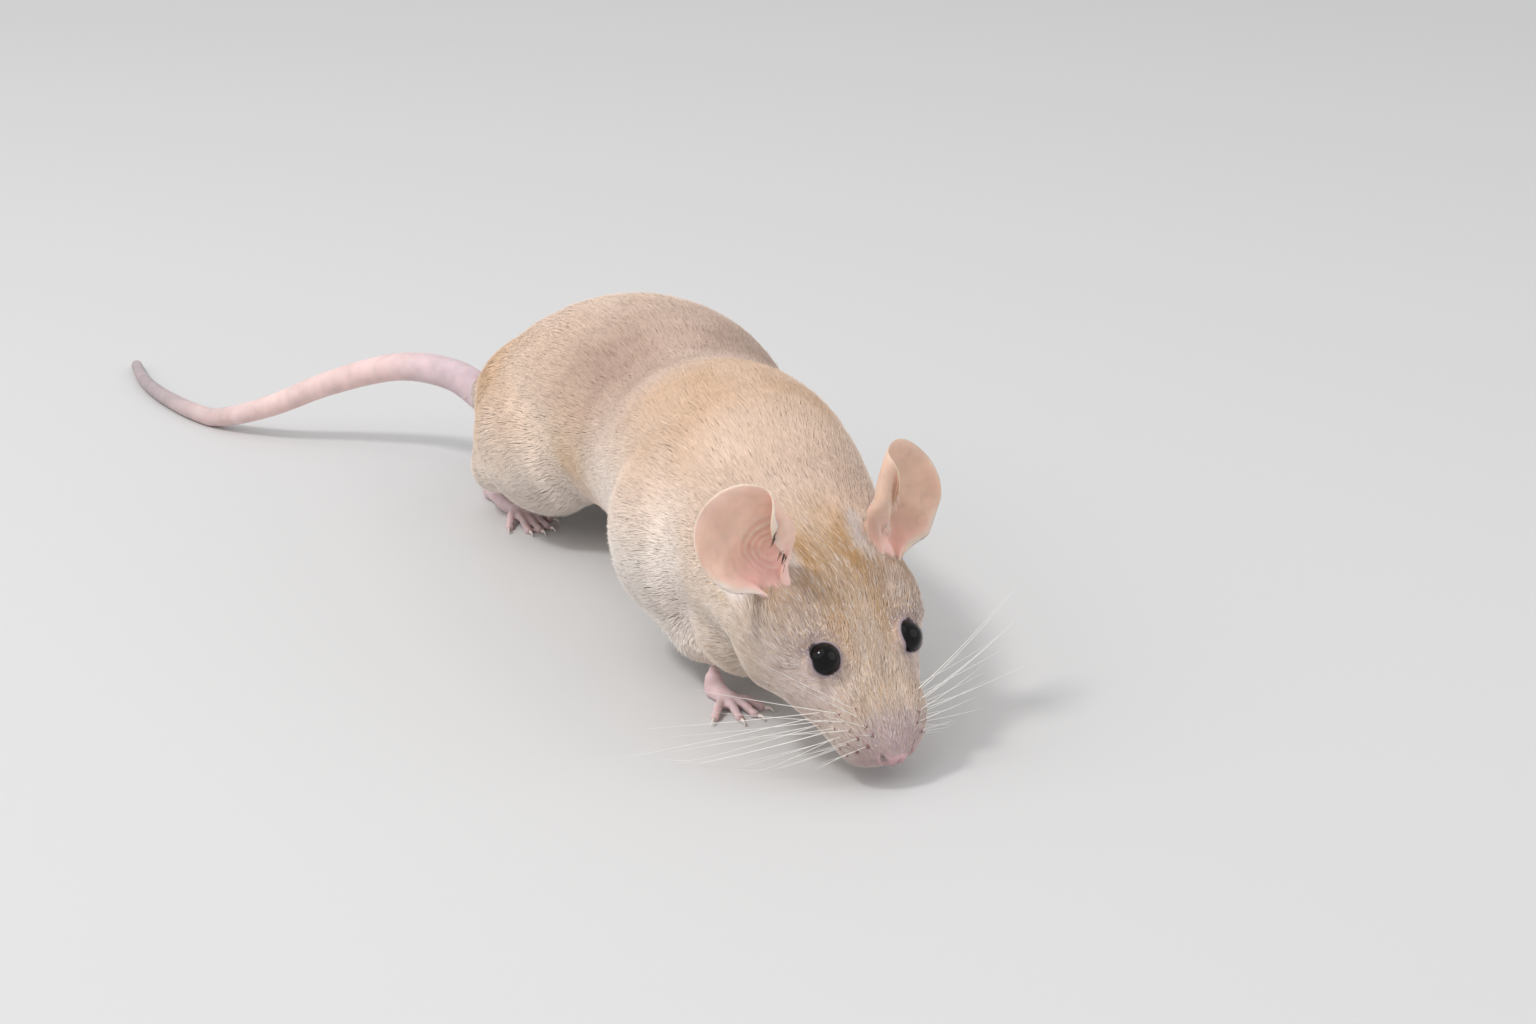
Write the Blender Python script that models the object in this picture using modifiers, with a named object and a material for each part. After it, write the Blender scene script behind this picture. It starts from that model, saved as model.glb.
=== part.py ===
"""A fawn pet mouse, life size, sniffing along the floor: a still model in metres, +Z up, nose toward -Y.

The animal is modelled as one flesh form, out to the tips of its short coat, and then parted by thin cuts into
the lengths that a person would name. Ears, eyes, feet and tail are pieces of their own. Places in the tables
are in millimetres, and "side" is -1 for the mouse's right and 1 for its left.
"""

import math

import bmesh
import bpy
from mathutils import Matrix, Vector

MM = 0.001
SIDES = {"right": -1, "left": 1}
GAP = 0.3 * MM  # left between neighbouring pieces
SINK = 0.25 * MM  # how far soles and tail are pressed in before the floor cut makes their flats
RING_SIDES = 12
RING_SWELL = 1.045  # makes up for how far a subdivided ring of 12 sides draws in
FLESH_VOXEL = 0.6 * MM
FLESH_ROUNDS = 7
FLESH_TRIANGLES = 2760
FOOT_VOXEL = 0.22 * MM
CRUMB_POINTS = 60  # a loose piece with fewer points is a crumb that two cuts left between them

# The head has a frame of its own: nose tip at the origin, x to the mouse's left, y back, z up.
NOSE_TIP = Vector((-11.1, -46.0, 2.6)) * MM
HEAD_TURN = 4.5  # degrees toward the mouse's left
HEAD_DROP = 42.5  # degrees nose down
# Each row: distance behind the nose tip, half width, rise and fall from the axis, lift of the axis.
HEAD_SECTIONS = (
    (0.0, 1.5, 1.2, 1.3, 0.0),
    (1.2, 2.9, 2.1, 2.3, -0.1),
    (3.2, 4.4, 2.9, 3.4, -0.3),
    (6.0, 5.8, 3.7, 4.4, -0.5),
    (9.0, 7.4, 4.8, 5.2, -0.5),
    (12.0, 8.7, 5.7, 6.0, -0.5),
    (15.5, 10.2, 6.3, 7.2, -0.4),
    (19.0, 10.3, 6.7, 8.0, -0.2),
)
# Rounded masses on each side of the head: centre in the head's frame, and radii.
HEAD_MASSES = {
    "whisker pad": ((2.5, 3.9, -1.2), (2.5, 3.2, 2.3)),
    "chin": ((0.6, 6.2, -3.4), (2.2, 3.6, 1.8)),
    "brow": ((4.5, 11.4, 2.7), (2.4, 3.2, 2.2)),
    "cheek": ((5.4, 16.2, -2.4), (4.2, 5.6, 4.6)),
    "snout": ((3.3, 6.8, 0.9), (2.3, 4.6, 2.3)),
    "temple": ((6.5, 16.2, 1.9), (3.3, 5.2, 3.4)),
    "ear base": ((5.8, 19.6, 1.5), (3.2, 4.4, 3.3)),
}

# Trunk sections from nape to tail root: sideways, along the body, half width, top, bottom.
TRUNK_SECTIONS = (
    (-11.2, -27.5, 10.6, 24.6, 7.0),
    (-9.8, -20.0, 11.7, 28.0, 5.0),
    (-8.2, -12.0, 13.0, 30.8, 4.0),
    (-6.6, -4.0, 13.7, 31.6, 3.8),
    (-4.6, 4.0, 13.2, 29.4, 4.2),
    (-2.6, 11.5, 13.2, 27.2, 4.4),
    (-1.0, 18.5, 14.4, 27.8, 4.2),
    (-0.2, 26.0, 15.6, 29.6, 3.8),
    (-0.8, 34.0, 15.8, 28.8, 3.6),
    (-3.0, 42.0, 14.0, 25.2, 4.0),
    (-6.2, 48.6, 9.8, 19.8, 5.4),
    (-9.0, 53.6, 4.8, 15.2, 8.0),
    (-10.6, 56.4, 2.9, 13.8, 8.8),
)
# Rounded masses on each side of the spine: sideways place of the spine there, centre from it, and radii.
TRUNK_MASSES = {
    "shoulder": (-8.6, (8.4, -9.0, 15.0), (6.0, 9.5, 9.5)),
    "upper arm": (-8.6, (7.0, -9.5, 8.2), (4.0, 6.0, 5.2)),
    "breast": (-10.4, (4.8, -21.0, 9.0), (4.6, 6.4, 5.4)),
    "haunch": (-1.8, (9.2, 34.5, 11.8), (8.2, 11.8, 9.2)),
    "rump": (-2.8, (5.6, 42.0, 13.0), (8.0, 8.5, 9.5)),
}

EYE_PLACE = Vector((5.0, 11.4, 3.5)) * MM
EYE_RADIUS = 1.68 * MM

EAR_ROOT = Vector((6.6, 20.0, 3.6)) * MM
EAR_LENGTH = 12.4 * MM
EAR_WIDTH = 11.6 * MM
EAR_THICKNESS = 0.6 * MM
# How each ear is held: its lean outward and back for each unit of height,
# and how far outward and up its cup looks for each unit forward.
EAR_LEANS = {"right": (0.52, 0.16), "left": (0.34, 0.25)}
EAR_FACINGS = {"right": (0.45, 0.25), "left": (0.42, 0.25)}
EAR_RIM_START = 0.56  # share of the length where the side rims turn over into the round top
EAR_BURIED = 0.3  # share of the length that starts inside the head
EAR_FULL_AT = 0.56  # share of the length where the funnel has opened into the broad cup
EAR_FULL_TILT = 0.16  # how much sooner it opens toward the crown, and later outside
EAR_ROOT_SHARE = 0.66  # width at the root, as a share of the full width
EAR_CURLS = (150.0, 42.0)  # degrees from the middle to each rim, at the root and in the cup
EAR_FOLD = 95.0  # degrees that the edge toward the crown rolls in, low down
EAR_FOLD_START = 0.5  # share of the way from the middle to that edge where the roll begins
EAR_FOLD_HEIGHTS = (0.25, 0.62)  # shares of the length where the roll begins to fade, and where it has gone
EAR_BEND = 2.0 * MM  # how far the tip leans into the cup
EAR_BEND_LEVEL = 0.45  # share of the length where the sheet stands upright
EAR_STEPS = 12
EAR_COLUMNS = 12
EAR_ROWS = 8

TOE_RADIUS = 0.55 * MM
# Sole length, width and height, the level where foot meets leg,
# and each toe's reach and fan from the inner one.
FRONT_FOOT = {
    "sole": (3.6, 2.9, 2.4),
    "ankle": 2.0,
    "toes": ((3.0, -26.0), (3.9, -8.0), (3.9, 10.0), (3.2, 42.0)),
    "knuckle": 0.5,
    "triangles": 340,
}
HIND_FOOT = {
    "sole": (9.6, 3.3, 3.2),
    "ankle": 2.7,
    "toes": ((3.2, -26.0), (5.2, -8.0), (5.6, 0.0), (5.2, 8.0), (3.4, 30.0)),
    "knuckle": 0.45,
    "triangles": 420,
}
# Shapes that both kinds of foot share, as shares of the sole's length, width and height.
SOLE_LINE = ((0.0, 0.92), (-0.5, 0.62), (-1.0, 0.5))  # along and up
SOLE_RADIUS = 0.42
BALL_PAD = ((-0.9, 0.42), (0.5, 0.22, 0.46))  # along and up, then the radii
HEEL_PAD = (0.62, (0.42, 0.55, 0.6))  # up, then the radii, the second a share of the width
TOE_FROM = (-0.92, 0.42)  # along and up
TOE_ROW = 0.72  # width that the toes' roots take
TOE_SIZES = (1.1, 1.0, 0.9)  # from root to tip, as shares of the toe's radius
TOE_END = 1.15  # the tip's length, as a share of its radius

# Where each heel stands, sideways and along the body, and its heading in degrees toward the mouse's right.
FRONT_STANCE = {"right": ((-16.6, -17.8), -2.0), "left": ((-2.0, -11.5), 4.0)}
HIND_STANCE = {"right": ((-12.4, 48.0), 0.0), "left": ((5.2, 45.0), 6.0)}
# Each lower leg's line up from its heel: outward, along and up from the last point, with its radius there.
FORELEG = ((0.0, 0.0, 2.2, 1.5), (0.2, 5.5, 5.6, 3.2), (-1.0, 2.0, 5.0, 3.6))
HIND_LEG = ((0.0, 0.0, 2.6, 1.6), (1.0, -5.0, 3.4, 4.2), (-1.0, -4.0, 4.6, 6.0))

# Ovals that hold each leg's share of the flesh: centre and radii.
LEG_REGIONS = {
    "leg_front_right": ((-17.8, -13.0, 3.4), (5.6, 9.6, 8.8)),
    "leg_front_left": ((-0.6, -7.0, 3.4), (5.6, 9.6, 8.8)),
    "leg_hind_right": ((-14.6, 37.0, 8.0), (8.0, 13.2, 12.6)),
    "leg_hind_left": ((9.4, 35.0, 8.0), (8.6, 13.2, 12.6)),
}
# Cuts from side to side, each a point and a direction along the body:
# behind the ears, and before the shoulders.
NECK_CUTS = (
    ((-12.4, -26.6, 16.0), (0.1, 1.0, 0.22)),
    ((-10.4, -17.5, 15.0), (-0.16, 1.0, -0.35)),
)
LENGTH_NAMES = ("head", "neck", "trunk")  # in order from the nose

# The tail's line from inside the rump to its tip, and its radius at both ends.
TAIL_LINE = (
    (-10.2, 53.0, 11.3),
    (-12.0, 60.5, 12.6),
    (-15.8, 69.0, 11.8),
    (-22.2, 76.4, 8.6),
    (-29.0, 83.4, 4.2),
    (-33.8, 91.6, 1.2),
    (-36.0, 101.0, 1.0),
    (-36.4, 111.0, 0.8),
    (-34.8, 121.0, 0.6),
)
TAIL_RADII = (2.3 * MM, 0.75 * MM)
TAIL_TAPER = 0.8
TAIL_LENGTHS = 4
TAIL_STEP = 2.2 * MM

# Base colour and roughness for the name that a node starts with.
FINISHES = {
    "eye": ((0.012, 0.010, 0.010), 0.08),
    "ear": ((0.84, 0.56, 0.48), 0.55),
    "foot": ((0.86, 0.62, 0.57), 0.5),
    "tail": ((0.84, 0.60, 0.56), 0.5),
    "": ((0.80, 0.64, 0.46), 0.85),
}


def clear_scene():
    for item in list(bpy.data.objects):
        bpy.data.objects.remove(item, do_unlink=True)


def add_object(name, mesh, collection):
    item = bpy.data.objects.new(name, mesh)
    collection.objects.link(item)
    return item


def discard(*items):
    for item in items:
        bpy.data.objects.remove(item, do_unlink=True)


def mesh_from(shape, name):
    """Turns a finished bmesh into a mesh and frees it."""
    mesh = bpy.data.meshes.new(name)
    shape.to_mesh(mesh)
    shape.free()
    return mesh


def evaluated_mesh(item):
    """The object's mesh with its modifiers applied, in world space."""
    graph = bpy.context.evaluated_depsgraph_get()
    mesh = bpy.data.meshes.new_from_object(item.evaluated_get(graph))
    mesh.transform(item.matrix_world)
    return mesh


def apply_all(item):
    """Bakes an object's modifiers into its mesh."""
    item.data = evaluated_mesh(item)
    item.modifiers.clear()


def combine(item, other, operation):
    """Cuts, joins or intersects an object with another that stays as it is."""
    change = item.modifiers.new("Combine", "BOOLEAN")
    change.operation = operation
    change.object = other
    apply_all(item)


def grown(item, amount, collection):
    """A copy whose surface stands out by the amount, to cut clearance with."""
    copy = add_object(item.name + "_grown", item.data.copy(), collection)
    swell = copy.modifiers.new("Swell", "DISPLACE")
    swell.strength = amount
    swell.mid_level = 0.0
    apply_all(copy)
    return copy


def ball(centre, radii, collection, turn=None, segments=18):
    """An ellipsoid, turned about its centre where a turn is given."""
    shape = bmesh.new()
    bmesh.ops.create_uvsphere(shape, u_segments=segments, v_segments=segments // 2 + 1, radius=1.0)
    mesh = mesh_from(shape, "ball")
    size = Matrix.Diagonal((*radii, 1.0))
    mesh.transform(Matrix.Translation(centre) @ (turn or Matrix.Identity(4)) @ size)
    return add_object("ball", mesh, collection)


def block(size, centre, collection):
    """A box of the given sides."""
    shape = bmesh.new()
    bmesh.ops.create_cube(shape, size=1.0)
    mesh = mesh_from(shape, "block")
    mesh.transform(Matrix.Translation(centre) @ Matrix.Diagonal((*size, 1.0)))
    return add_object("block", mesh, collection)


def slab(point, normal, collection):
    """A thin plate across the body at a point: the cut between two lengths of it."""
    plate = block((0.06, 0.06, GAP), Vector((0, 0, 0)), collection)
    plate.data.transform(normal.to_track_quat("Z", "Y").to_matrix().to_4x4())
    plate.data.transform(Matrix.Translation(point))
    return plate


def limb(points, radii, collection):
    """A round tapering tube through a few points."""
    line = bpy.data.curves.new("limb", "CURVE")
    line.dimensions = "3D"
    line.bevel_depth = 1.0
    line.bevel_resolution = 3
    line.use_fill_caps = True
    line.resolution_u = 5
    spline = line.splines.new("BEZIER")
    spline.bezier_points.add(len(points) - 1)
    for knot, point, radius in zip(spline.bezier_points, points, radii):
        knot.co = point
        knot.radius = radius
        knot.handle_left_type = "AUTO"
        knot.handle_right_type = "AUTO"
    tube = bpy.data.objects.new("limb", line)
    collection.objects.link(tube)
    return solid_of(tube, collection)


def solid_of(curve, collection):
    """Makes a curve object a mesh object, with its loose caps welded on."""
    shape = bmesh.new()
    shape.from_mesh(evaluated_mesh(curve))
    bmesh.ops.remove_doubles(shape, verts=shape.verts, dist=0.002 * MM)
    bmesh.ops.recalc_face_normals(shape, faces=shape.faces)
    discard(curve)
    return add_object("tube", mesh_from(shape, "tube"), collection)


def fuse(name, pieces, voxel, rounds, triangles, collection):
    """Melts overlapping closed shapes into one surface, smooths where they meet and thins the result."""
    whole = bmesh.new()
    for piece in pieces:
        whole.from_mesh(evaluated_mesh(piece))
    discard(*pieces)
    item = add_object(name, mesh_from(whole, name), collection)
    melt = item.modifiers.new("Melt", "REMESH")
    melt.mode = "VOXEL"
    melt.voxel_size = voxel
    ease = item.modifiers.new("Ease", "SMOOTH")
    ease.factor = 0.5
    ease.iterations = rounds
    dense = len(evaluated_mesh(item).polygons)
    thin = item.modifiers.new("Thin", "DECIMATE")
    thin.ratio = min(1.0, triangles / (2.0 * dense))
    apply_all(item)
    return item


def loft(rings):
    """A closed mesh through rings of equal count, with a cap at each end."""
    shape = bmesh.new()
    loops = [[shape.verts.new(point) for point in ring] for ring in rings]
    for near, far in zip(loops, loops[1:]):
        for i in range(RING_SIDES):
            j = (i + 1) % RING_SIDES
            shape.faces.new((near[i], near[j], far[j], far[i]))
    shape.faces.new(loops[0][::-1])
    shape.faces.new(loops[-1])
    bmesh.ops.recalc_face_normals(shape, faces=shape.faces)
    return mesh_from(shape, "loft")


def section(centre, forward, half_width, rise, fall):
    """An oval ring across a direction, whose heights above and below its centre may differ."""
    side = forward.cross(Vector((0, 0, 1))).normalized()
    up = side.cross(forward.normalized())
    ring = []
    for i in range(RING_SIDES):
        angle = 2 * math.pi * i / RING_SIDES
        height = rise if math.sin(angle) > 0 else fall
        across = side * math.cos(angle) * half_width
        along = up * math.sin(angle) * height
        ring.append(centre + (across + along) * RING_SWELL)
    return ring


def head_matrix():
    """Carries the head's own frame into the model."""
    turn = Matrix.Rotation(math.radians(HEAD_TURN), 4, "Z")
    drop = Matrix.Rotation(math.radians(HEAD_DROP), 4, "X")
    return Matrix.Translation(NOSE_TIP) @ turn @ drop


def torso(collection):
    """Head, neck and trunk without their rounded masses: one loft, each section square to its neighbours."""
    place = head_matrix()
    centres = []
    sizes = []
    for back, half_width, rise, fall, lift in HEAD_SECTIONS:
        centres.append(place @ (Vector((0, back, lift)) * MM))
        sizes.append((half_width, rise, fall))
    for side, along, half_width, top, bottom in TRUNK_SECTIONS:
        middle = 0.5 * (top + bottom)
        centres.append(Vector((side, along, middle)) * MM)
        sizes.append((half_width, top - middle, middle - bottom))
    rings = []
    for i, centre in enumerate(centres):
        before = centres[max(i - 1, 0)]
        after = centres[min(i + 1, len(centres) - 1)]
        rings.append(section(centre, before - after, *(size * MM for size in sizes[i])))
    item = add_object("torso", loft(rings), collection)
    rounding = item.modifiers.new("Rounding", "SUBSURF")
    rounding.levels = 2
    rounding.render_levels = 2
    return item


def lower_leg(heel, line, side, collection):
    """A leg's tube from its heel up into the body."""
    place = Vector((*heel, 0.0))
    points = []
    for out, along, up, _ in line:
        place = place + Vector((side * out, along, up))
        points.append(place * MM)
    return limb(points, [radius * MM for *_, radius in line], collection)


def flesh_form(collection):
    """The whole body but for ears, eyes, feet and tail."""
    pieces = [torso(collection)]
    place = head_matrix()
    turn = place.to_3x3().to_4x4()
    for label, side in SIDES.items():
        for (x, y, z), radii in HEAD_MASSES.values():
            centre = place @ (Vector((side * x, y, z)) * MM)
            pieces.append(ball(centre, Vector(radii) * MM, collection, turn))
        for spine, (x, y, z), radii in TRUNK_MASSES.values():
            centre = Vector((spine + side * x, y, z)) * MM
            pieces.append(ball(centre, Vector(radii) * MM, collection))
        pieces.append(lower_leg(FRONT_STANCE[label][0], FORELEG, side, collection))
        pieces.append(lower_leg(HIND_STANCE[label][0], HIND_LEG, side, collection))
    return fuse("flesh", pieces, FLESH_VOXEL, FLESH_ROUNDS, FLESH_TRIANGLES, collection)


def ease(share):
    """Goes from 0 to 1 with a level start and end."""
    share = min(1.0, max(0.0, share))
    return share * share * (3 - 2 * share)


def ear_opening(height, outward):
    """How far the funnel has opened at a height, its half arc, and the turn from its middle to its edge."""
    opened = ease(height / (EAR_FULL_AT + EAR_FULL_TILT * outward))
    half_arc = 0.5 * EAR_WIDTH * (EAR_ROOT_SHARE + (1 - EAR_ROOT_SHARE) * opened)
    return opened, half_arc, math.radians(EAR_CURLS[0] + (EAR_CURLS[1] - EAR_CURLS[0]) * opened)


def ear_arc(spread, height, side):
    """Where the sheet has come across and ahead, walking from its middle toward one edge at one height."""
    fade, gone = EAR_FOLD_HEIGHTS
    fold = math.radians(EAR_FOLD) * (1 - ease((height - fade) / (gone - fade)))
    opened, half_arc, curl = ear_opening(height, 0.0)
    out = 0.0
    ahead = half_arc / curl * (opened - 1) + EAR_BEND * (height - EAR_BEND_LEVEL) ** 2
    for k in range(EAR_STEPS):
        share = spread * (k + 0.5) / EAR_STEPS
        _, half_arc, curl = ear_opening(height, side * share)
        rolled = ease((-side * share - EAR_FOLD_START) / (1 - EAR_FOLD_START))
        angle = share * curl - side * fold * rolled
        out += math.cos(angle) * half_arc * spread / EAR_STEPS
        ahead += math.sin(angle) * half_arc * spread / EAR_STEPS
    return out, ahead


def ear(label, side, collection):
    """A cupped sheet: a funnel at its root that opens into a broad round cup."""
    turn = Matrix.Rotation(math.radians(HEAD_TURN), 3, "Z")
    root = head_matrix() @ Vector((side * EAR_ROOT.x, EAR_ROOT.y, EAR_ROOT.z))
    out, back = EAR_LEANS[label]
    axis = turn @ Vector((side * out, back, 1.0)).normalized()
    out, up = EAR_FACINGS[label]
    facing = turn @ Vector((side * out, -1.0, up))
    facing = (facing - axis * facing.dot(axis)).normalized()
    across = axis.cross(facing)
    shape = bmesh.new()
    columns = []
    for i in range(EAR_COLUMNS + 1):
        spread = 2 * i / EAR_COLUMNS - 1
        top = EAR_RIM_START + (1 - EAR_RIM_START) * math.sqrt(max(0.0, 1 - spread * spread))
        column = []
        for j in range(EAR_ROWS + 1):
            height = -EAR_BURIED + (top + EAR_BURIED) * j / EAR_ROWS
            out, ahead = ear_arc(spread, height, side)
            place = root + axis * EAR_LENGTH * height + across * out + facing * ahead
            column.append(shape.verts.new(place))
        columns.append(column)
    for near, far in zip(columns, columns[1:]):
        for j in range(EAR_ROWS):
            shape.faces.new((near[j], far[j], far[j + 1], near[j + 1]))
    item = add_object("ear_" + label, mesh_from(shape, "ear"), collection)
    wall = item.modifiers.new("Wall", "SOLIDIFY")
    wall.thickness = EAR_THICKNESS
    wall.offset = 0.0
    apply_all(item)
    return item


def cut_at_floor(item, collection):
    """Takes off all that lies under the floor, which leaves a flat."""
    under = block((0.4, 0.4, 0.02), Vector((0, 0, -0.01)), collection)
    combine(item, under, "DIFFERENCE")
    discard(under)


def stance_matrix(heel, heading):
    return Matrix.Translation(Vector((*heel, 0.0)) * MM) @ Matrix.Rotation(math.radians(-heading), 4, "Z")


def foot(name, heel, heading, side, plan, collection):
    """A sole with toes that fan from its ball, flat underneath at floor level and cut level at the ankle."""
    length, width, height = plan["sole"]
    line = [Vector((0, along * length, up * height)) * MM for along, up in SOLE_LINE]
    pieces = [limb(line, [height * SOLE_RADIUS * MM] * len(line), collection)]
    (along, up), (wide, long, tall) = BALL_PAD
    pad = Vector((0, along * length, up * height)) * MM
    pieces.append(ball(pad, Vector((width * wide, length * long, height * tall)) * MM, collection))
    up, (wide, long, tall) = HEEL_PAD
    heel_pad = Vector((0, 0, height * up)) * MM
    pieces.append(ball(heel_pad, Vector((width * wide, width * long, height * tall)) * MM, collection))
    last = len(plan["toes"]) - 1
    for k, (reach, fan) in enumerate(plan["toes"]):
        fan = math.radians(fan)
        across = side * (k / last - 0.5) * width * TOE_ROW
        start = Vector((across, TOE_FROM[0] * length, TOE_FROM[1] * height))
        aim = Vector((side * math.sin(fan), -math.cos(fan), 0))
        knuckle = start + aim * reach * 0.5 + Vector((0, 0, plan["knuckle"]))
        tip = start + aim * reach
        tip.z = TOE_RADIUS / MM
        sizes = [TOE_RADIUS * share for share in TOE_SIZES]
        pieces.append(limb([start * MM, knuckle * MM, tip * MM], sizes, collection))
        pieces.append(ball(tip * MM, (TOE_RADIUS, TOE_RADIUS * TOE_END, TOE_RADIUS), collection))
    place = stance_matrix(heel, heading) @ Matrix.Translation((0, 0, -SINK))
    for piece in pieces:
        piece.data.transform(place)
    item = fuse(name, pieces, FOOT_VOXEL, 2, plan["triangles"], collection)
    cut_at_floor(item, collection)
    above = block((0.02, 0.05, 0.01), Vector((0, 0, 0.005 + plan["ankle"] * MM)), collection)
    above.data.transform(stance_matrix(heel, heading))
    combine(item, above, "DIFFERENCE")
    discard(above)
    return item


def foot_room(heel, heading, plan, collection):
    """The space low down around a foot, which the flesh above it keeps clear of."""
    length, width, _ = plan["sole"]
    top = plan["ankle"] * MM + GAP
    behind = width
    ahead = length + max(reach for reach, _ in plan["toes"]) + 1.0
    size = ((width + 3.0) * MM, (behind + ahead) * MM, 2 * top)
    room = block(size, Vector((0, 0.5 * (behind - ahead) * MM, 0)), collection)
    room.data.transform(stance_matrix(heel, heading))
    return room


def even_line(points, step):
    """Evenly spaced points along a smooth line through the given ones."""
    ends = [2 * points[0] - points[1], *points, 2 * points[-1] - points[-2]]
    fine = []
    for before, start, end, after in zip(ends, ends[1:], ends[2:], ends[3:]):
        for i in range(24):
            t = i / 24
            pull = (end - before) * t
            sag = (2 * before - 5 * start + 4 * end - after) * t**2
            swing = (3 * start - before - 3 * end + after) * t**3
            fine.append(start + 0.5 * (pull + sag + swing))
    fine.append(points[-1])
    run = [0.0]
    for near, far in zip(fine, fine[1:]):
        run.append(run[-1] + (far - near).length)
    count = round(run[-1] / step)
    even = []
    k = 0
    for i in range(count + 1):
        goal = run[-1] * i / count
        while k < len(run) - 2 and run[k + 1] < goal:
            k += 1
        share = (goal - run[k]) / (run[k + 1] - run[k])
        even.append(fine[k].lerp(fine[k + 1], min(1.0, share)))
    return even


def tail(collection):
    """The tail in a few lengths, arched at its root and laid along the floor toward its tip."""
    even = even_line([Vector(point) * MM for point in TAIL_LINE], TAIL_STEP)
    total = len(even) - 1
    lengths = []
    for k in range(TAIL_LENGTHS):
        first = round(total * k / TAIL_LENGTHS)
        last = round(total * (k + 1) / TAIL_LENGTHS)
        points = even[first : last + 1]
        if k:
            points[0] = points[0] + (points[1] - points[0]).normalized() * GAP
        curve = bpy.data.curves.new("tail", "CURVE")
        curve.dimensions = "3D"
        curve.bevel_depth = 1.0
        curve.bevel_resolution = 3
        curve.use_fill_caps = True
        curve.twist_mode = "Z_UP"
        spline = curve.splines.new("POLY")
        spline.points.add(len(points) - 1)
        for i, (knot, point) in enumerate(zip(spline.points, points)):
            share = (first + i) / total
            radius = TAIL_RADII[0] + (TAIL_RADII[1] - TAIL_RADII[0]) * share**TAIL_TAPER
            if first + i == total:
                radius *= 0.5
            knot.co = (point.x, point.y, max(point.z, radius - SINK), 1.0)
            knot.radius = radius
        tube = bpy.data.objects.new("tube", curve)
        collection.objects.link(tube)
        item = solid_of(tube, collection)
        item.name = f"tail_{k + 1}"
        cut_at_floor(item, collection)
        lengths.append(item)
    return lengths


def loose_parts(item, collection):
    """One object for each closed body of a mesh, without any crumbs."""
    shape = bmesh.new()
    shape.from_mesh(item.data)
    shape.verts.ensure_lookup_table()
    group = {}
    count = 0
    for seed in shape.verts:
        if seed.index in group:
            continue
        group[seed.index] = count
        stack = [seed]
        while stack:
            for edge in stack.pop().link_edges:
                for end in edge.verts:
                    if end.index not in group:
                        group[end.index] = count
                        stack.append(end)
        count += 1
    bodies = []
    for k in range(count):
        body = shape.copy()
        others = [vert for vert in body.verts if group[vert.index] != k]
        bmesh.ops.delete(body, geom=others, context="VERTS")
        if len(body.verts) > CRUMB_POINTS:
            bodies.append(add_object("body", mesh_from(body, "body"), collection))
    shape.free()
    discard(item)
    return bodies


def part_flesh(flesh, collection):
    """Parts the flesh into the four legs, and then into head, neck and trunk."""
    half_gap = Vector((0.5, 0.5, 0.5)) * GAP
    for name, (centre, radii) in LEG_REGIONS.items():
        inner = ball(Vector(centre) * MM, Vector(radii) * MM - half_gap, collection, segments=12)
        outer = ball(Vector(centre) * MM, Vector(radii) * MM + half_gap, collection, segments=12)
        leg = add_object(name, flesh.data.copy(), collection)
        combine(leg, inner, "INTERSECT")
        combine(flesh, outer, "DIFFERENCE")
        discard(inner, outer)
    for point, normal in NECK_CUTS:
        plate = slab(Vector(point) * MM, Vector(normal), collection)
        combine(flesh, plate, "DIFFERENCE")
        discard(plate)
    lengths = loose_parts(flesh, collection)
    lengths.sort(key=lambda item: min(vert.co.y for vert in item.data.vertices))
    for item, name in zip(lengths, LENGTH_NAMES):
        item.name = name


def centre_on_floor(collection):
    """Moves the model so that its origin is the middle of its base."""
    corners = [vert.co for item in collection.objects for vert in item.data.vertices]
    low = Vector([min(corner[k] for corner in corners) for k in range(3)])
    high = Vector([max(corner[k] for corner in corners) for k in range(3)])
    middle = 0.5 * (low + high)
    for item in collection.objects:
        item.data.transform(Matrix.Translation((-middle.x, -middle.y, -low.z)))


def finish(item):
    """A plain material of the node's own, and smooth shading."""
    colour, roughness = next(look for start, look in FINISHES.items() if item.name.startswith(start))
    material = bpy.data.materials.new(item.name)
    material.use_nodes = True
    shader = material.node_tree.nodes["Principled BSDF"]
    shader.inputs["Base Color"].default_value = (*colour, 1.0)
    shader.inputs["Roughness"].default_value = roughness
    shader.inputs["Metallic"].default_value = 0.0
    item.data.materials.clear()
    item.data.materials.append(material)
    item.data.shade_smooth()


def main():
    clear_scene()
    mouse = bpy.data.collections.new("pet_mouse")
    bpy.context.scene.collection.children.link(mouse)
    flesh = flesh_form(mouse)
    clearance = grown(flesh, GAP, mouse)
    for label, side in SIDES.items():
        combine(ear(label, side, mouse), clearance, "DIFFERENCE")
        centre = head_matrix() @ Vector((side * EYE_PLACE.x, EYE_PLACE.y, EYE_PLACE.z))
        ball(centre, (EYE_RADIUS,) * 3, mouse, segments=16).name = "eye_" + label
        socket = ball(centre, (EYE_RADIUS + GAP,) * 3, mouse, segments=16)
        combine(flesh, socket, "DIFFERENCE")
        discard(socket)
    combine(tail(mouse)[0], clearance, "DIFFERENCE")
    discard(clearance)
    for end, stance, plan in (("front", FRONT_STANCE, FRONT_FOOT), ("hind", HIND_STANCE, HIND_FOOT)):
        for label, side in SIDES.items():
            heel, heading = stance[label]
            foot(f"foot_{end}_{label}", heel, heading, side, plan, mouse)
            room = foot_room(heel, heading, plan, mouse)
            combine(flesh, room, "DIFFERENCE")
            discard(room)
    part_flesh(flesh, mouse)
    centre_on_floor(mouse)
    for item in mouse.objects:
        finish(item)


main()
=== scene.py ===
import math
import bpy
import bmesh
import numpy as np
from mathutils import Matrix, Vector
from mathutils.bvhtree import BVHTree


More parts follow.
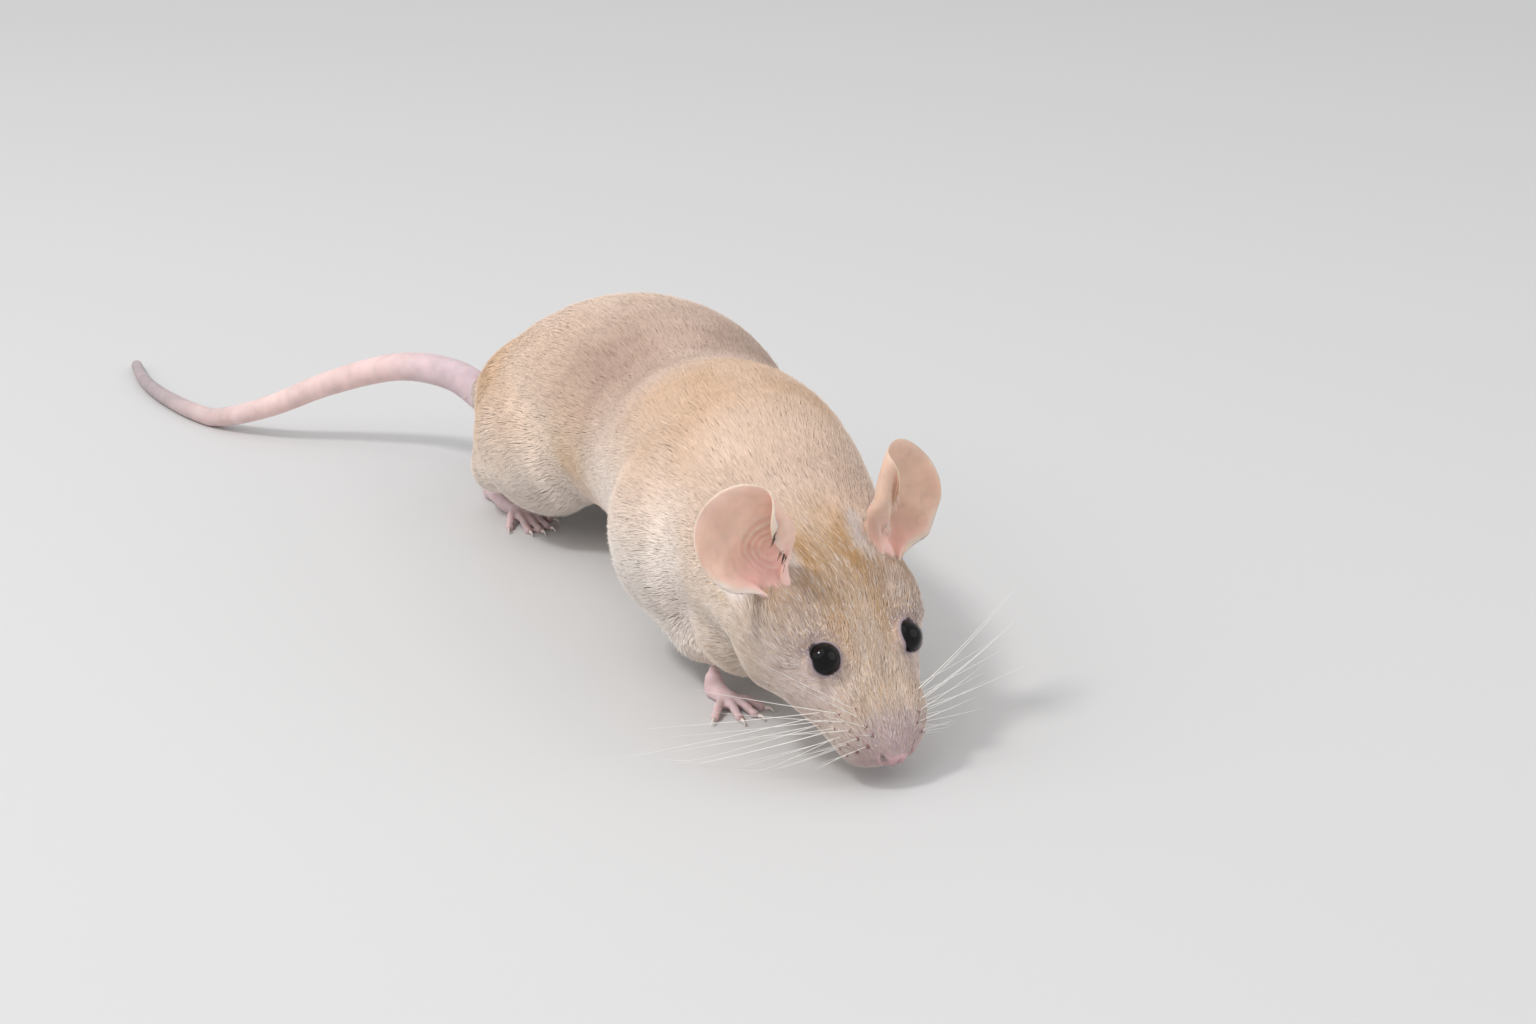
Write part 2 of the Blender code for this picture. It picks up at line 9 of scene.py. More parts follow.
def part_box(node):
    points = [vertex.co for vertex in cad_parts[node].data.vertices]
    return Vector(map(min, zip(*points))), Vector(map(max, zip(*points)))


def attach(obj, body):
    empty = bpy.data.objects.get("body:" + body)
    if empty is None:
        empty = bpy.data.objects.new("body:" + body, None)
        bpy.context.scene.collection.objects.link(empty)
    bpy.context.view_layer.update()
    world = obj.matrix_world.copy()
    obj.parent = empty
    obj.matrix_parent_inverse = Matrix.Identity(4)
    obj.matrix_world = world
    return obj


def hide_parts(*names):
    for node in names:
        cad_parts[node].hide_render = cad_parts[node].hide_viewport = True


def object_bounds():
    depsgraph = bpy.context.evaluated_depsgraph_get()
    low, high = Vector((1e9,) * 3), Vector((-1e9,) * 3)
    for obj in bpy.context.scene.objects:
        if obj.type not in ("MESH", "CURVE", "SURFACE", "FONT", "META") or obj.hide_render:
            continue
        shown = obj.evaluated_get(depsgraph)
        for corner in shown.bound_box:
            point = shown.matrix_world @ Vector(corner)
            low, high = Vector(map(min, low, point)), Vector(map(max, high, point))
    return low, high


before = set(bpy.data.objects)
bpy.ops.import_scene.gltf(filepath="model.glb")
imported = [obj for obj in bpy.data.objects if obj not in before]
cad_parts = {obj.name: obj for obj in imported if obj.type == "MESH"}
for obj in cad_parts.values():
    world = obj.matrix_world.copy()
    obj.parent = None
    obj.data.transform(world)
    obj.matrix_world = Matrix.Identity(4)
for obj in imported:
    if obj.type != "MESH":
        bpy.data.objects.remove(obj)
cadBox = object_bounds()
mm = 0.001
sides = {"right": -1.0, "left": 1.0}
limbs = [(end, label) for end in ("front", "hind") for label in sides]


def centreOf(node):
    low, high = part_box(node)
    return np.array(0.5 * (low + high))


def sizeOf(a):
    # the length of each row
    return np.linalg.norm(a, axis=-1)


def unit(a):
    return a / np.maximum(sizeOf(a)[..., None], 1e-12)


def between(pair, share):
    return pair[0] + (pair[1] - pair[0]) * share


def ramp(x, low, high):
    # 0 below low, 1 above high, with a level start and end
    t = np.clip((x - low) / (high - low), 0.0, 1.0)
    return t * t * (3 - 2 * t)


def fade(x, low, high):
    return 1 - ramp(x, low, high)


def bell(d, width):
    # 1 where d is 0, falling smoothly to nothing
    return np.exp(-((d / width) ** 2))


def along(points, places, values):
    # each column of values, read at the points by straight steps between the places
    values = np.asarray(values, float)
    if values.ndim == 1:
        return np.interp(points, places, values)
    return np.stack([np.interp(points, places, column) for column in values.T], -1)


def noise3(p, size, seed):
    # smooth noise in -1..1: random numbers on a lattice of the given size, blended between corners
    q = p / size
    cell = np.floor(q).astype(np.int64)
    f = q - cell
    f = f * f * (3 - 2 * f)
    total = np.zeros(len(p))
    for corner in range(8):
        step = np.array([corner & 1, corner >> 1 & 1, corner >> 2 & 1])
        c = cell + step
        h = c[:, 0] * 73856093 ^ c[:, 1] * 19349663 ^ c[:, 2] * 83492791 ^ seed * 2654435761
        h = (h ^ (h >> 13)) * 1274126177 & 0xFFFFFFFF
        h = (h ^ (h >> 16)) & 0xFFFFFF
        weight = np.prod(np.where(step, f, 1 - f), axis=1)
        total += weight * (h / 8388607.5 - 1)
    return total


def placed(name, data):
    item = bpy.data.objects.new(name, data)
    bpy.context.scene.collection.objects.link(item)
    return item


def meshObject(name, points, blocks):
    # each block of faces is an array of triangles or of quads
    mesh = bpy.data.meshes.new(name)
    loops = np.concatenate([np.asarray(block, np.int32).ravel() for block in blocks])
    totals = np.concatenate([np.full(len(block), block.shape[1], np.int32) for block in blocks])
    starts = np.concatenate([[0], np.cumsum(totals)[:-1]]).astype(np.int32)
    mesh.vertices.add(len(points))
    mesh.vertices.foreach_set("co", np.asarray(points, np.float32).ravel())
    mesh.loops.add(len(loops))
    mesh.loops.foreach_set("vertex_index", loops)
    mesh.polygons.add(len(totals))
    mesh.polygons.foreach_set("loop_start", starts)
    mesh.polygons.foreach_set("loop_total", totals)
    mesh.update(calc_edges=True)
    return placed(name, mesh)


def valuesOf(items, key, width, kind=np.int32):
    # one attribute of everything in a mesh's list, a row for each
    values = np.empty(len(items) * width, kind)
    items.foreach_get(key, values)
    return values.reshape(-1, width)


def pointsOf(mesh):
    return valuesOf(mesh.vertices, "co", 3, np.float32).astype(float)


def normalsOf(mesh):
    return valuesOf(mesh.vertex_normals, "vector", 3, np.float32).astype(float)


def setPoints(mesh, points):
    mesh.vertices.foreach_set("co", np.asarray(points, np.float32).ravel())
    mesh.update()


def eased(mesh, points, weight, rounds):
    # moves each point toward the mean of its neighbours, as far as its weight says
    ends = valuesOf(mesh.edges, "vertices", 2)
    count = np.bincount(ends.ravel(), minlength=len(points))[:, None]
    weight = np.broadcast_to(weight, len(points))[:, None]
    for _ in range(rounds):
        mean = np.zeros_like(points)
        for axis in range(3):
            for near, far in ((0, 1), (1, 0)):
                mean[:, axis] += np.bincount(ends[:, near], points[ends[:, far], axis], len(points))
        points = points + weight * (mean / np.maximum(count, 1) - points) * 0.5
    return points


def reshaped(mesh, sources, change=None):
    # the source meshes in one, changed together and written to the mesh
    form = bmesh.new()
    for source in sources:
        form.from_mesh(source)
    if change:
        change(form)
    form.to_mesh(mesh)
    form.free()


def applied(item):
    # bakes an object's modifiers into its mesh
    graph = bpy.context.evaluated_depsgraph_get()
    mesh = bpy.data.meshes.new_from_object(item.evaluated_get(graph))
    item.modifiers.clear()
    item.data = mesh


def grid(rows, columns):
    # quads between neighbouring rings of points
    i = np.arange(rows - 1)[:, None] * columns
    j = np.arange(columns)[None, :]
    k = (j + 1) % columns
    return np.stack([i + j, i + k, i + columns + k, i + columns + j], -1).reshape(-1, 4)


def capped(rings, poles):
    # rings of points joined in quads, and closed at each end by a fan to a point
    rows, columns = rings.shape[:2]
    j = np.arange(columns)
    k = (j + 1) % columns
    last = (rows - 1) * columns
    pole = np.full(columns, rows * columns)
    fans = [np.stack([pole, k, j], -1), np.stack([pole + 1, last + j, last + k], -1)]
    return np.concatenate([rings.reshape(-1, 3), poles]), [grid(rows, columns), *fans]


def tube(path, radii, columns=12, squash=1.0):
    # a round profile carried along a path, each ring square to it, with a point past each end;
    # squash flattens the rings against the floor's direction
    path = np.asarray(path, float)
    radii = np.asarray(radii, float)
    tangent = unit(np.gradient(path, axis=0))
    side = unit(np.cross(tangent, np.array([0.0, 0.0, 1.0])) + np.array([1e-9, 0.0, 0.0]))
    rise = np.cross(side, tangent)
    turn = np.linspace(0, 2 * np.pi, columns, endpoint=False)[:, None]
    ring = side[:, None] * np.cos(turn) + rise[:, None] * np.sin(turn) * squash
    first = path[0] - tangent[0] * radii[0] * 0.5
    last = path[-1] + tangent[-1] * radii[-1] * 0.5
    return capped(path[:, None] + ring * radii[:, None, None], [first, last])


def ballForm(centre, radii, rows=14, columns=20):
    # an ellipsoid: rings of latitude between two poles
    centre = np.asarray(centre)
    lift = np.linspace(-np.pi / 2, np.pi / 2, rows + 2)[1:-1]
    path = centre + np.stack([0 * lift, 0 * lift, np.sin(lift) * radii[2]], -1)
    turn = np.linspace(0, 2 * np.pi, columns, endpoint=False)
    flat = np.stack([np.cos(turn) * radii[0], np.sin(turn) * radii[1], 0 * turn], -1)
    pole = np.array([0, 0, radii[2]])
    rings = path[:, None] + flat[None] * np.cos(lift)[:, None, None]
    return capped(rings, [centre - pole, centre + pole])


def gathered(forms):
    # several forms as one list of points and faces
    points, blocks, start = [], [], 0
    for form, faces in forms:
        points.append(form)
        blocks += [block + start for block in faces]
        start += len(form)
    return np.concatenate(points), blocks


# the head's own frame: nose tip at its origin, x to the mouse's left, y back, z up, in millimetres
head = {
    "turn": 4.5,  # degrees toward the mouse's left
    "drop": 42.5,  # degrees nose down
    "eye": (5.0, 11.4, 3.5),
    "noseTip": (-11.1, -46.0, 2.6),  # in the body's millimetres
}
a, b = math.radians(head["turn"]), math.radians(head["drop"])
headTurn = np.array(Matrix.Rotation(a, 3, "Z") @ Matrix.Rotation(b, 3, "X"))
eyeMiddle = 0.5 * (centreOf("eye_right") + centreOf("eye_left"))
headOrigin = eyeMiddle - headTurn @ (np.array([0.0, head["eye"][1], head["eye"][2]]) * mm)
bodyShift = headOrigin - np.array(head["noseTip"]) * mm  # from the body's millimetres to the frame


def fromHead(p):
    return headOrigin + np.asarray(p, float) * mm @ headTurn.T


def toHead(p):
    return (p - headOrigin) @ headTurn / mm


def fromBody(p):
    return np.asarray(p, float) * mm + bodyShift


def toBody(p):
    return (p - bodyShift) / mm


def mirrored(place, side):
    # a place or direction given for the left, on the given side
    return np.array([side * place[0], place[1], place[2]])


print("frame ready")

ear = {
    "root": (6.6, 20.0, 3.6),  # in the head's millimetres
    "length": 12.4,
    "width": 11.6,
    # the ear's axis, outward and back for each unit of height
    "lean": {"right": (0.52, 0.16), "left": (0.34, 0.25)},
    # the way the cup faces, outward and up for each unit forward
    "facing": {"right": (0.45, 0.25), "left": (0.42, 0.25)},
    # share of the length where the funnel is a cup, and how much later outside
    "fullAt": (0.56, 0.24),
    "rootShare": 0.66,
    "curls": (150.0, 42.0),  # degrees from the middle to the edge, at the root and in the cup
    # the crown edge rolls in: degrees at the root and in the cup, where across, where up the ear
    # it fades, and how much longer the sheet is on that side
    "fold": ((100.0, 158.0), (0.60, 0.83), (0.58, 0.98), 0.45),
    "bow": 2.0,
    "buried": 0.3,  # share of the length that goes down into the head
    "thickness": (0.62, 0.32),  # at the root and near the rim
    "ridge": 0.11,  # height of the folds inside the cup
    "ridgeGap": 0.072,
    "ridgeAt": (0.34, 0.30),  # the place the folds run round, across and up
    "wave": 0.10,
    "rows": 60,
    "columns": 48,
}


def earSheet(spread, height, side):
    # the sheet is walked from its middle to each edge: its heading turns with the curl, and more
    # where the edge toward the crown rolls in; across and ahead are the running totals of the
    # heading's cosine and sine
    crown = -side * spread
    start, later = ear["fullAt"]
    opened = ramp(height / (start - later * crown), 0, 1)
    halfArc = 0.5 * ear["width"] * between((ear["rootShare"], 1), opened)
    curl = np.radians(between(ear["curls"], opened))
    turn, span, top, extra = ear["fold"]
    held = fade(height, *top)
    fold = np.radians(between(turn, opened)) * held * ramp(crown, *span)
    heading = spread * curl - side * fold
    arc = halfArc * (1 + extra * opened * held * ramp(crown, 0.2, 0.5))
    stride = np.diff(spread, axis=1) * 0.5 * (arc[:, 1:] + arc[:, :-1])
    turned = 0.5 * (heading[:, 1:] + heading[:, :-1])
    walks = (np.cumsum(part(turned) * stride, axis=1) for part in (np.cos, np.sin))
    across, ahead = (np.concatenate([0 * height[:, :1], walk], 1) for walk in walks)
    middle = [spread.shape[1] // 2]
    bow = (halfArc / curl * (opened - 1) + ear["bow"] * (height - 0.45) ** 2)[:, middle]
    return across - across[:, middle], ahead - ahead[:, middle] + bow, heading


def earForm(label):
    # a closed sheet on a grid of height and spread: each ring goes up its inside and back outside
    side = sides[label]
    turn = np.array(Matrix.Rotation(math.radians(head["turn"]), 3, "Z"))
    root = fromHead(mirrored(ear["root"], side))
    axis = unit(turn @ mirrored((*ear["lean"][label], 1.0), side))
    out, up = ear["facing"][label]
    facing = turn @ mirrored((out, -1.0, up), side)
    facing = unit(facing - axis * (facing @ axis))
    across = np.cross(axis, facing)
    n = ear["columns"]
    v = np.linspace(0, 1, ear["rows"])[:, None]
    half = -np.cos(np.linspace(0, np.pi, n + 1))[None, :] + 0 * v  # closer together at the rims
    top = 0.56 + 0.44 * np.sqrt(np.maximum(0, 1 - half**2))
    tall = -ear["buried"] + (top + ear["buried"]) * v
    x, ahead, heading = earSheet(half, tall, side)
    around = np.concatenate([np.arange(n), n - np.arange(n)])
    x, ahead, heading, spread, height = (a[:, around] for a in (x, ahead, heading, half, tall))
    inner = np.concatenate([np.ones(n), -np.ones(n)])[None, :]
    inner[0, 0] = inner[0, n] = 0.0
    crown = -side * spread
    rim = np.maximum(np.abs(spread), v + 0 * spread)
    # folds inside the cup: arcs round a place low on the side toward the crown
    r = np.hypot((crown - ear["ridgeAt"][0]) * 0.5, height - ear["ridgeAt"][1])
    folds = np.sin(2 * np.pi * (r - 0.08) / ear["ridgeGap"])
    folds = folds * ramp(r, 0.03, 0.10) * fade(r, 0.24, 0.38)
    folds = folds * (1 - 0.85 * ramp(crown, 0.34, 0.52))
    wall = 0.5 * between(ear["thickness"], ramp(height, 0, 0.8))
    wall = wall * np.sqrt(np.maximum(0, 1 - np.abs(spread) ** 7))
    wall = wall * np.sqrt(np.maximum(0, 1 - v**14))
    wave = ear["wave"] * np.sin(5.0 * spread + 2.0 * height) * ramp(height, 0.3, 0.7)
    lift = inner * wall + folds * ear["ridge"] * fade(rim, 0.75, 0.95) + wave
    x = x - np.sin(heading) * lift
    ahead = ahead + np.cos(heading) * lift
    place = (
        root
        + axis * (height * ear["length"])[..., None] * mm
        + across * x[..., None] * mm
        + facing * ahead[..., None] * mm
    )
    free, beside = (0, 1) if side > 0 else (n, n - 1)
    facts = {
        "rim": rim.ravel(),
        "height": height.ravel(),
        "inner": (inner + 0 * height).ravel(),
        "folds": (folds * (inner > 0)).ravel(),
        "edge": (height[:, free], place[:, free], unit(place[:, free] - place[:, beside])),
    }
    # the top row's two sides fall on one line, and are merged when the ear joins the skin
    rows, columns = height.shape
    points = place.reshape(-1, 3)
    bottom = np.arange(columns)
    cap = np.stack([np.full(columns, len(points)), np.roll(bottom, -1), bottom], -1)
    points = np.concatenate([points, points[:columns].mean(axis=0)[None]])
    return points, [grid(rows, columns), cap], facts


foot = {
    "front": {
        "heel": {"right": (-16.6, -17.8, -2.0), "left": (-2.0, -11.5, 4.0)},  # x, y and heading
        "sole": (3.6, 2.9, 2.2),  # length, width, height
        # each toe's reach and fan from the inner one
        "toes": ((3.0, -26.0), (3.9, -8.0), (3.9, 10.0), (3.2, 42.0)),
        "knuckle": 0.55,
        "shank": (2.6, 0.0, 0.20),  # how high it rises, how far it leans forward, its width there
        "ankle": 2.6,
    },
    "hind": {
        "heel": {"right": (-12.4, 48.0, 0.0), "left": (5.2, 45.0, 6.0)},
        "sole": (9.6, 3.3, 2.8),
        "toes": ((3.2, -26.0), (5.2, -8.0), (5.6, 0.0), (5.2, 8.0), (3.4, 30.0)),
        "knuckle": 0.5,
        "shank": (4.6, 3.2, 0.34),
        "ankle": 3.4,
    },
    "toeRadius": 0.5,
    "joints": (0.0, 0.3, 0.55, 0.8, 1.0),  # shares of a toe's reach
    # the toe's thickness at shares of its reach
    "swells": (
        (0, 0.22, 0.36, 0.48, 0.62, 0.74, 0.88, 1.0),
        (1.12, 0.98, 1.1, 0.92, 1.04, 0.84, 1.08, 0.9),
    ),
    "sink": 0.22,
    "voxel": 0.195,
}


def footPlace(end, label, p):
    # turns a place in the foot's own millimetres to its heading, and sets it at its heel
    x, y, heading = foot[end]["heel"][label]
    c, s = math.cos(-math.radians(heading)), math.sin(-math.radians(heading))
    px, py, pz = np.moveaxis(np.asarray(p, float), -1, 0)
    return fromBody(np.stack([px * c - py * s, px * s + py * c, pz], -1) + np.array([x, y, 0.0]))


def toeLines(end, label):
    # each toe's path from the ball of the foot over its knuckles to its tip
    plan = foot[end]
    length, width, height = plan["sole"]
    last = len(plan["toes"]) - 1
    lines = []
    for k, (reach, fan) in enumerate(plan["toes"]):
        fan = math.radians(fan)
        across = (k / last - 0.5) * width * 0.72
        start = mirrored((across, -length * 0.86, height * 0.36), sides[label])
        aim = mirrored((math.sin(fan), -math.cos(fan), 0.0), sides[label])
        line = start + aim * (np.array(foot["joints"]) * (reach + 0.3))[:, None]
        knuckle = start[2] + plan["knuckle"] * 0.6
        line[:, 2] = start[2], knuckle, 0.95, 0.62, foot["toeRadius"] - 0.02
        lines.append((line, aim))
    return lines


def footForm(end, label):
    length, width, height = foot[end]["sole"]
    # the instep: a tube from above the ankle down and forward to the ball of the foot
    t = np.linspace(0, 1, 16)
    rise, shin, top = foot[end]["shank"]
    forward = length * 0.95 * ramp(t, 0.15, 1.0) + shin * fade(t, 0.0, 0.42) ** 1.5
    lift = height * 0.45 + rise * fade(t, 0.0, 0.5) ** 2
    thick = along(t, [0, 0.12, 0.3, 0.6, 1], [top, 0.34, 0.42, 0.36, 0.34]) * width
    forms = [
        tube(np.stack([0 * t, 0.2 - forward, lift], -1), thick, 16, 0.85),
        ballForm((0, -length * 0.88, height * 0.36), (width * 0.5, width * 0.42, height * 0.4)),
        ballForm((0, -0.1, height * 0.42), (width * 0.40, width * 0.5, height * 0.46)),
    ]
    if end == "hind":
        middle = (0, -length * 0.45, height * 0.32)
        forms.append(ballForm(middle, (width * 0.38, length * 0.42, height * 0.34)))
    # toes swell at their knuckles and at the pad of the tip
    s = np.linspace(0, 1, 22)
    radii = foot["toeRadius"] * along(s, *foot["swells"])
    for line, _ in toeLines(end, label):
        path = along(s, foot["joints"], line).T
        path = [np.convolve(np.pad(row, 3, "edge"), np.ones(7) / 7, "valid") for row in path]
        forms.append(tube(np.stack(path, -1), radii, 12))
    points, blocks = gathered(forms)
    points[:, 2] -= foot["sink"]
    return footPlace(end, label, points), blocks


tail = {
    "line": (
        (-10.2, 53.0, 11.3), (-12.0, 60.5, 12.6), (-15.8, 69.0, 11.8), (-22.2, 76.4, 8.6),
        (-29.0, 83.4, 4.2), (-33.8, 91.6, 1.2), (-36.0, 101.0, 1.0), (-36.4, 111.0, 0.8),
        (-34.8, 121.0, 0.6),
    ),
    "radii": (2.25, 0.72),
    "taper": 0.8,
    "ringGap": 0.55,  # between the rings of scales
    "ringHeight": 0.022,
    "rows": 340,
    "columns": 22,
}


def tailLine():
    # an even run of points along a smooth line through the given ones
    knots = np.array(tail["line"])
    ends = np.concatenate([[2 * knots[0] - knots[1]], knots, [2 * knots[-1] - knots[-2]]])
    t = np.linspace(0, 1, 24, endpoint=False)[None, :, None]
    a, b, c, d = (ends[i : len(knots) - 1 + i][:, None] for i in range(4))
    curve = (c - a) * t + (2 * a - 5 * b + 4 * c - d) * t**2
    curve = b + 0.5 * (curve + (3 * b - a - 3 * c + d) * t**3)
    curve = np.concatenate([curve.reshape(-1, 3), knots[-1:]])
    run = np.concatenate([[0], np.cumsum(sizeOf(np.diff(curve, axis=0)))])
    even = np.linspace(0, run[-1], tail["rows"])
    return along(even, run, curve), even


def tailForm():
    path, run = tailLine()
    share = run / run[-1]
    radius = between(tail["radii"], share ** tail["taper"])
    radius = radius * np.sqrt(np.clip((1 - share) * 60, 0.04, 1))
    path[:, 2] = np.maximum(path[:, 2], radius * 0.97 - 0.03)
    rings = tail["ringHeight"] * np.cos(2 * np.pi * run / tail["ringGap"]) * ramp(share, 0.0, 0.1)
    points, blocks = tube(path, radius + rings, tail["columns"])
    points[:, 2] = np.maximum(points[:, 2], 0.0)
    return fromBody(points), blocks


skinPlan = {
    "nodes": (
        "head", "neck", "trunk", "leg_front_right", "leg_front_left", "leg_hind_right",
        "leg_hind_left",
    ),
    "voxel": 0.68,
    "overlap": 0.26,  # how far pieces swell to meet across their cuts
    "headFine": 15.5,  # millimetres behind the nose where the finer mesh ends
    "eyeRadius": 1.68,
    "socket": 1.92,
    "eyeLooks": (0.60, -0.20, 0.77),  # outward, back, up
    "lids": (70.0, 78.0, 45.0),  # degrees from the eye's middle to its corners and to each lid
    # how much further the front corner reaches, its half width and its lift
    "corner": (19.0, 23.0, 16.0),
    # how much the lower lid closes toward the ear, over what width, and where
    "dip": (15.0, 36.0, -124.0),
    "lidStand": 0.07,
    "wrist": 2.6,  # how far round each ankle the leg's end is rounded off
    "footBlend": 2.5,
}


def ankleOf(end, label):
    return footPlace(end, label, (0.0, 0.0, foot[end]["ankle"]))


def ankleGaps(p):
    # millimetres to the ankles, a row for each leg
    return np.stack([sizeOf(p - ankleOf(*limb)) / mm for limb in limbs])


def coatDepth(p):
    # how far the skin lies under the tips of the coat, in millimetres
    h = toHead(p)
    depths = ([0, 3, 6, 10, 15, 21, 30, 44], [0.08, 0.2, 0.30, 0.38, 0.46, 0.54, 0.62, 0.66])
    depth = along(h[:, 1], *depths)
    for label, side in sides.items():
        near = sizeOf(h - mirrored(head["eye"], side))
        depth = depth * (0.2 + 0.8 * ramp(near, 1.7, 4.5))
        near = sizeOf(h - mirrored(ear["root"], side))
        depth = depth * (0.35 + 0.65 * ramp(near, 3.0, 7.0))
        for end in ("front", "hind"):
            near = sizeOf(p - ankleOf(end, label)) / mm
            depth = depth * (0.12 + 0.88 * ramp(near, 1.0, 11.0))
    return depth * (0.25 + 0.75 * fade(toBody(p)[:, 1], 38.0, 58.0))


def welded(form, gap=0.001):
    bmesh.ops.remove_doubles(form, verts=form.verts, dist=gap * mm)


def joinedCopy(name, nodes):
    mesh = bpy.data.meshes.new(name)
    reshaped(mesh, [bpy.data.objects[node].data for node in nodes], welded)
    return placed(name, mesh)


def addMesh(item, points, blocks):
    # adds a closed form to an object's mesh
    other = meshObject("form", points, blocks)
    reshaped(item.data, [item.data, other.data])
    bpy.data.objects.remove(other, do_unlink=True)


def remeshed(item, voxel):
    melt = item.modifiers.new("Melt", "REMESH")
    melt.mode = "VOXEL"
    melt.voxel_size = voxel * mm
    applied(item)


def bodySkin():
    item = joinedCopy("skin", skinPlan["nodes"])
    for label in sides:
        ball, blocks = ballForm((0, 0, 0), (skinPlan["socket"],) * 3)
        addMesh(item, centreOf("eye_" + label) + ball * mm, blocks)
    swell = item.modifiers.new("Swell", "DISPLACE")
    swell.strength = skinPlan["overlap"] * mm
    swell.mid_level = 0.0
    applied(item)
    remeshed(item, skinPlan["voxel"])
    mesh = item.data
    points = eased(mesh, pointsOf(mesh), 1.0, 3)
    setPoints(mesh, points)
    depth = coatDepth(points) + skinPlan["overlap"]
    points = points - normalsOf(mesh) * depth[:, None] * mm
    points = eased(mesh, points, 1.0, 4)
    # the legs' ends are rounded off where the feet go in, and the rump where the tail does
    wrist = bell(ankleGaps(points).min(axis=0), skinPlan["wrist"])
    points = eased(mesh, points, np.clip(wrist * 1.5, 0, 1), 40)
    points = eased(mesh, points, bell(toBody(points)[:, 1] - 50.0, 8.0) * 0.9, 30)
    setPoints(mesh, points)
    return item


def eyeGap(p):
    # millimetres to the middle of the nearer eye
    return np.minimum(*(sizeOf(p - centreOf("eye_" + label)) for label in sides)) / mm


def refinedHead(mesh):
    # splits each face at the front of the head in four, twice, and once more round the eyes,
    # and rounds the result
    for reach in (skinPlan["headFine"], skinPlan["headFine"] - 1.2, 0):
        points = pointsOf(mesh)
        h = toHead(points)
        inside = (h[:, 1] < reach) & (np.abs(h[:, 0]) < 11)
        if not reach:
            inside = eyeGap(points) < 2.9
        form = bmesh.new()
        form.from_mesh(mesh)
        edges = [edge for edge in form.edges if all(inside[v.index] for v in edge.verts)]
        bmesh.ops.subdivide_edges(form, edges=edges, cuts=1, use_grid_fill=True)
        form.to_mesh(mesh)
        form.free()
        points = pointsOf(mesh)
        weight = fade(toHead(points)[:, 1], reach - 1.0, reach + 1.5)
        if not reach:
            weight = fade(eyeGap(points), 2.7, 3.2)
        setPoints(mesh, eased(mesh, points, weight, 3))


def eyeSense(p, label):
    # round one eye: distance from its middle in millimetres, direction, and the degrees past the
    # edge of the lids' opening, which is long toward its corners and short above and below
    side = sides[label]
    centre = centreOf("eye_" + label)
    looks = unit(headTurn @ mirrored(skinPlan["eyeLooks"], side))
    nose = unit((headOrigin - centre) - looks * ((headOrigin - centre) @ looks))
    crown = np.cross(looks, nose) * -side
    v = (p - centre) / mm
    r = sizeOf(v)
    d = v / np.maximum(r, 1e-9)[..., None]
    angle = np.degrees(np.arccos(np.clip(d @ looks, -1, 1)))
    c, s = d @ nose, d @ crown
    size = np.maximum(np.hypot(c, s), 1e-9)
    c, s = c / size, s / size
    turn = np.degrees(np.arctan2(s, c))
    corners, upper, lower = skinPlan["lids"]
    opening = corners * c**2 + np.where(s > 0, upper, lower) * s**2
    reach, width, lift = skinPlan["corner"]
    opening = opening + reach * bell(turn - lift, width)
    reach, width, place = skinPlan["dip"]
    opening = opening - reach * bell(turn - place, width)
    return r, d, angle - opening


def shapedEyes(p):
    # lids: round each eye the skin is drawn onto the ball, with a rounded edge at the opening,
    # and inside the opening it is tucked under the ball's surface
    ball = skinPlan["eyeRadius"]
    for label in sides:
        r, d, past = eyeSense(p, label)
        rim = ball + skinPlan["lidStand"] + 0.13 * bell(past - 12, 8) - 0.03 * bell(past - 30, 9)
        rim = rim + 0.16 * ramp(past, 2, 40)
        target = between((ball * 0.86, rim), ramp(past, -4, 2))
        hold = fade(r, 2.5, 3.8) * fade(past, 36, 78)
        p = p + d * ((target - r) * hold)[:, None] * mm
    return p


face = {
    # half width and half height of the nose's bare pad, and how far it stands out
    "pad": (1.05, 0.65, 0.24),
    "nostril": (1.55, 0.05),  # to the side and up
    "whiskerPad": ((3.3, 4.0, 0.6), 2.3, 0.32),  # middle, reach and height
    "mouthGroove": 0.42,
}


def foldedHead(p):
    # the head's millimetres with both sides laid over one another, a column for each axis
    h = toHead(p)
    return np.abs(h[:, 0]), h[:, 1], h[:, 2]


def padShape(x, z, wide, tall):
    return np.exp(-((x / wide) ** 4) - (z / tall) ** 4)


def slitShape(u, w, long, thin):
    # a nostril's comma, from the place along and across it
    return np.exp(-(((u * 0.45 + w * 0.9) / long) ** 2) - (((u * 0.9 - w * 0.45) / thin) ** 2))


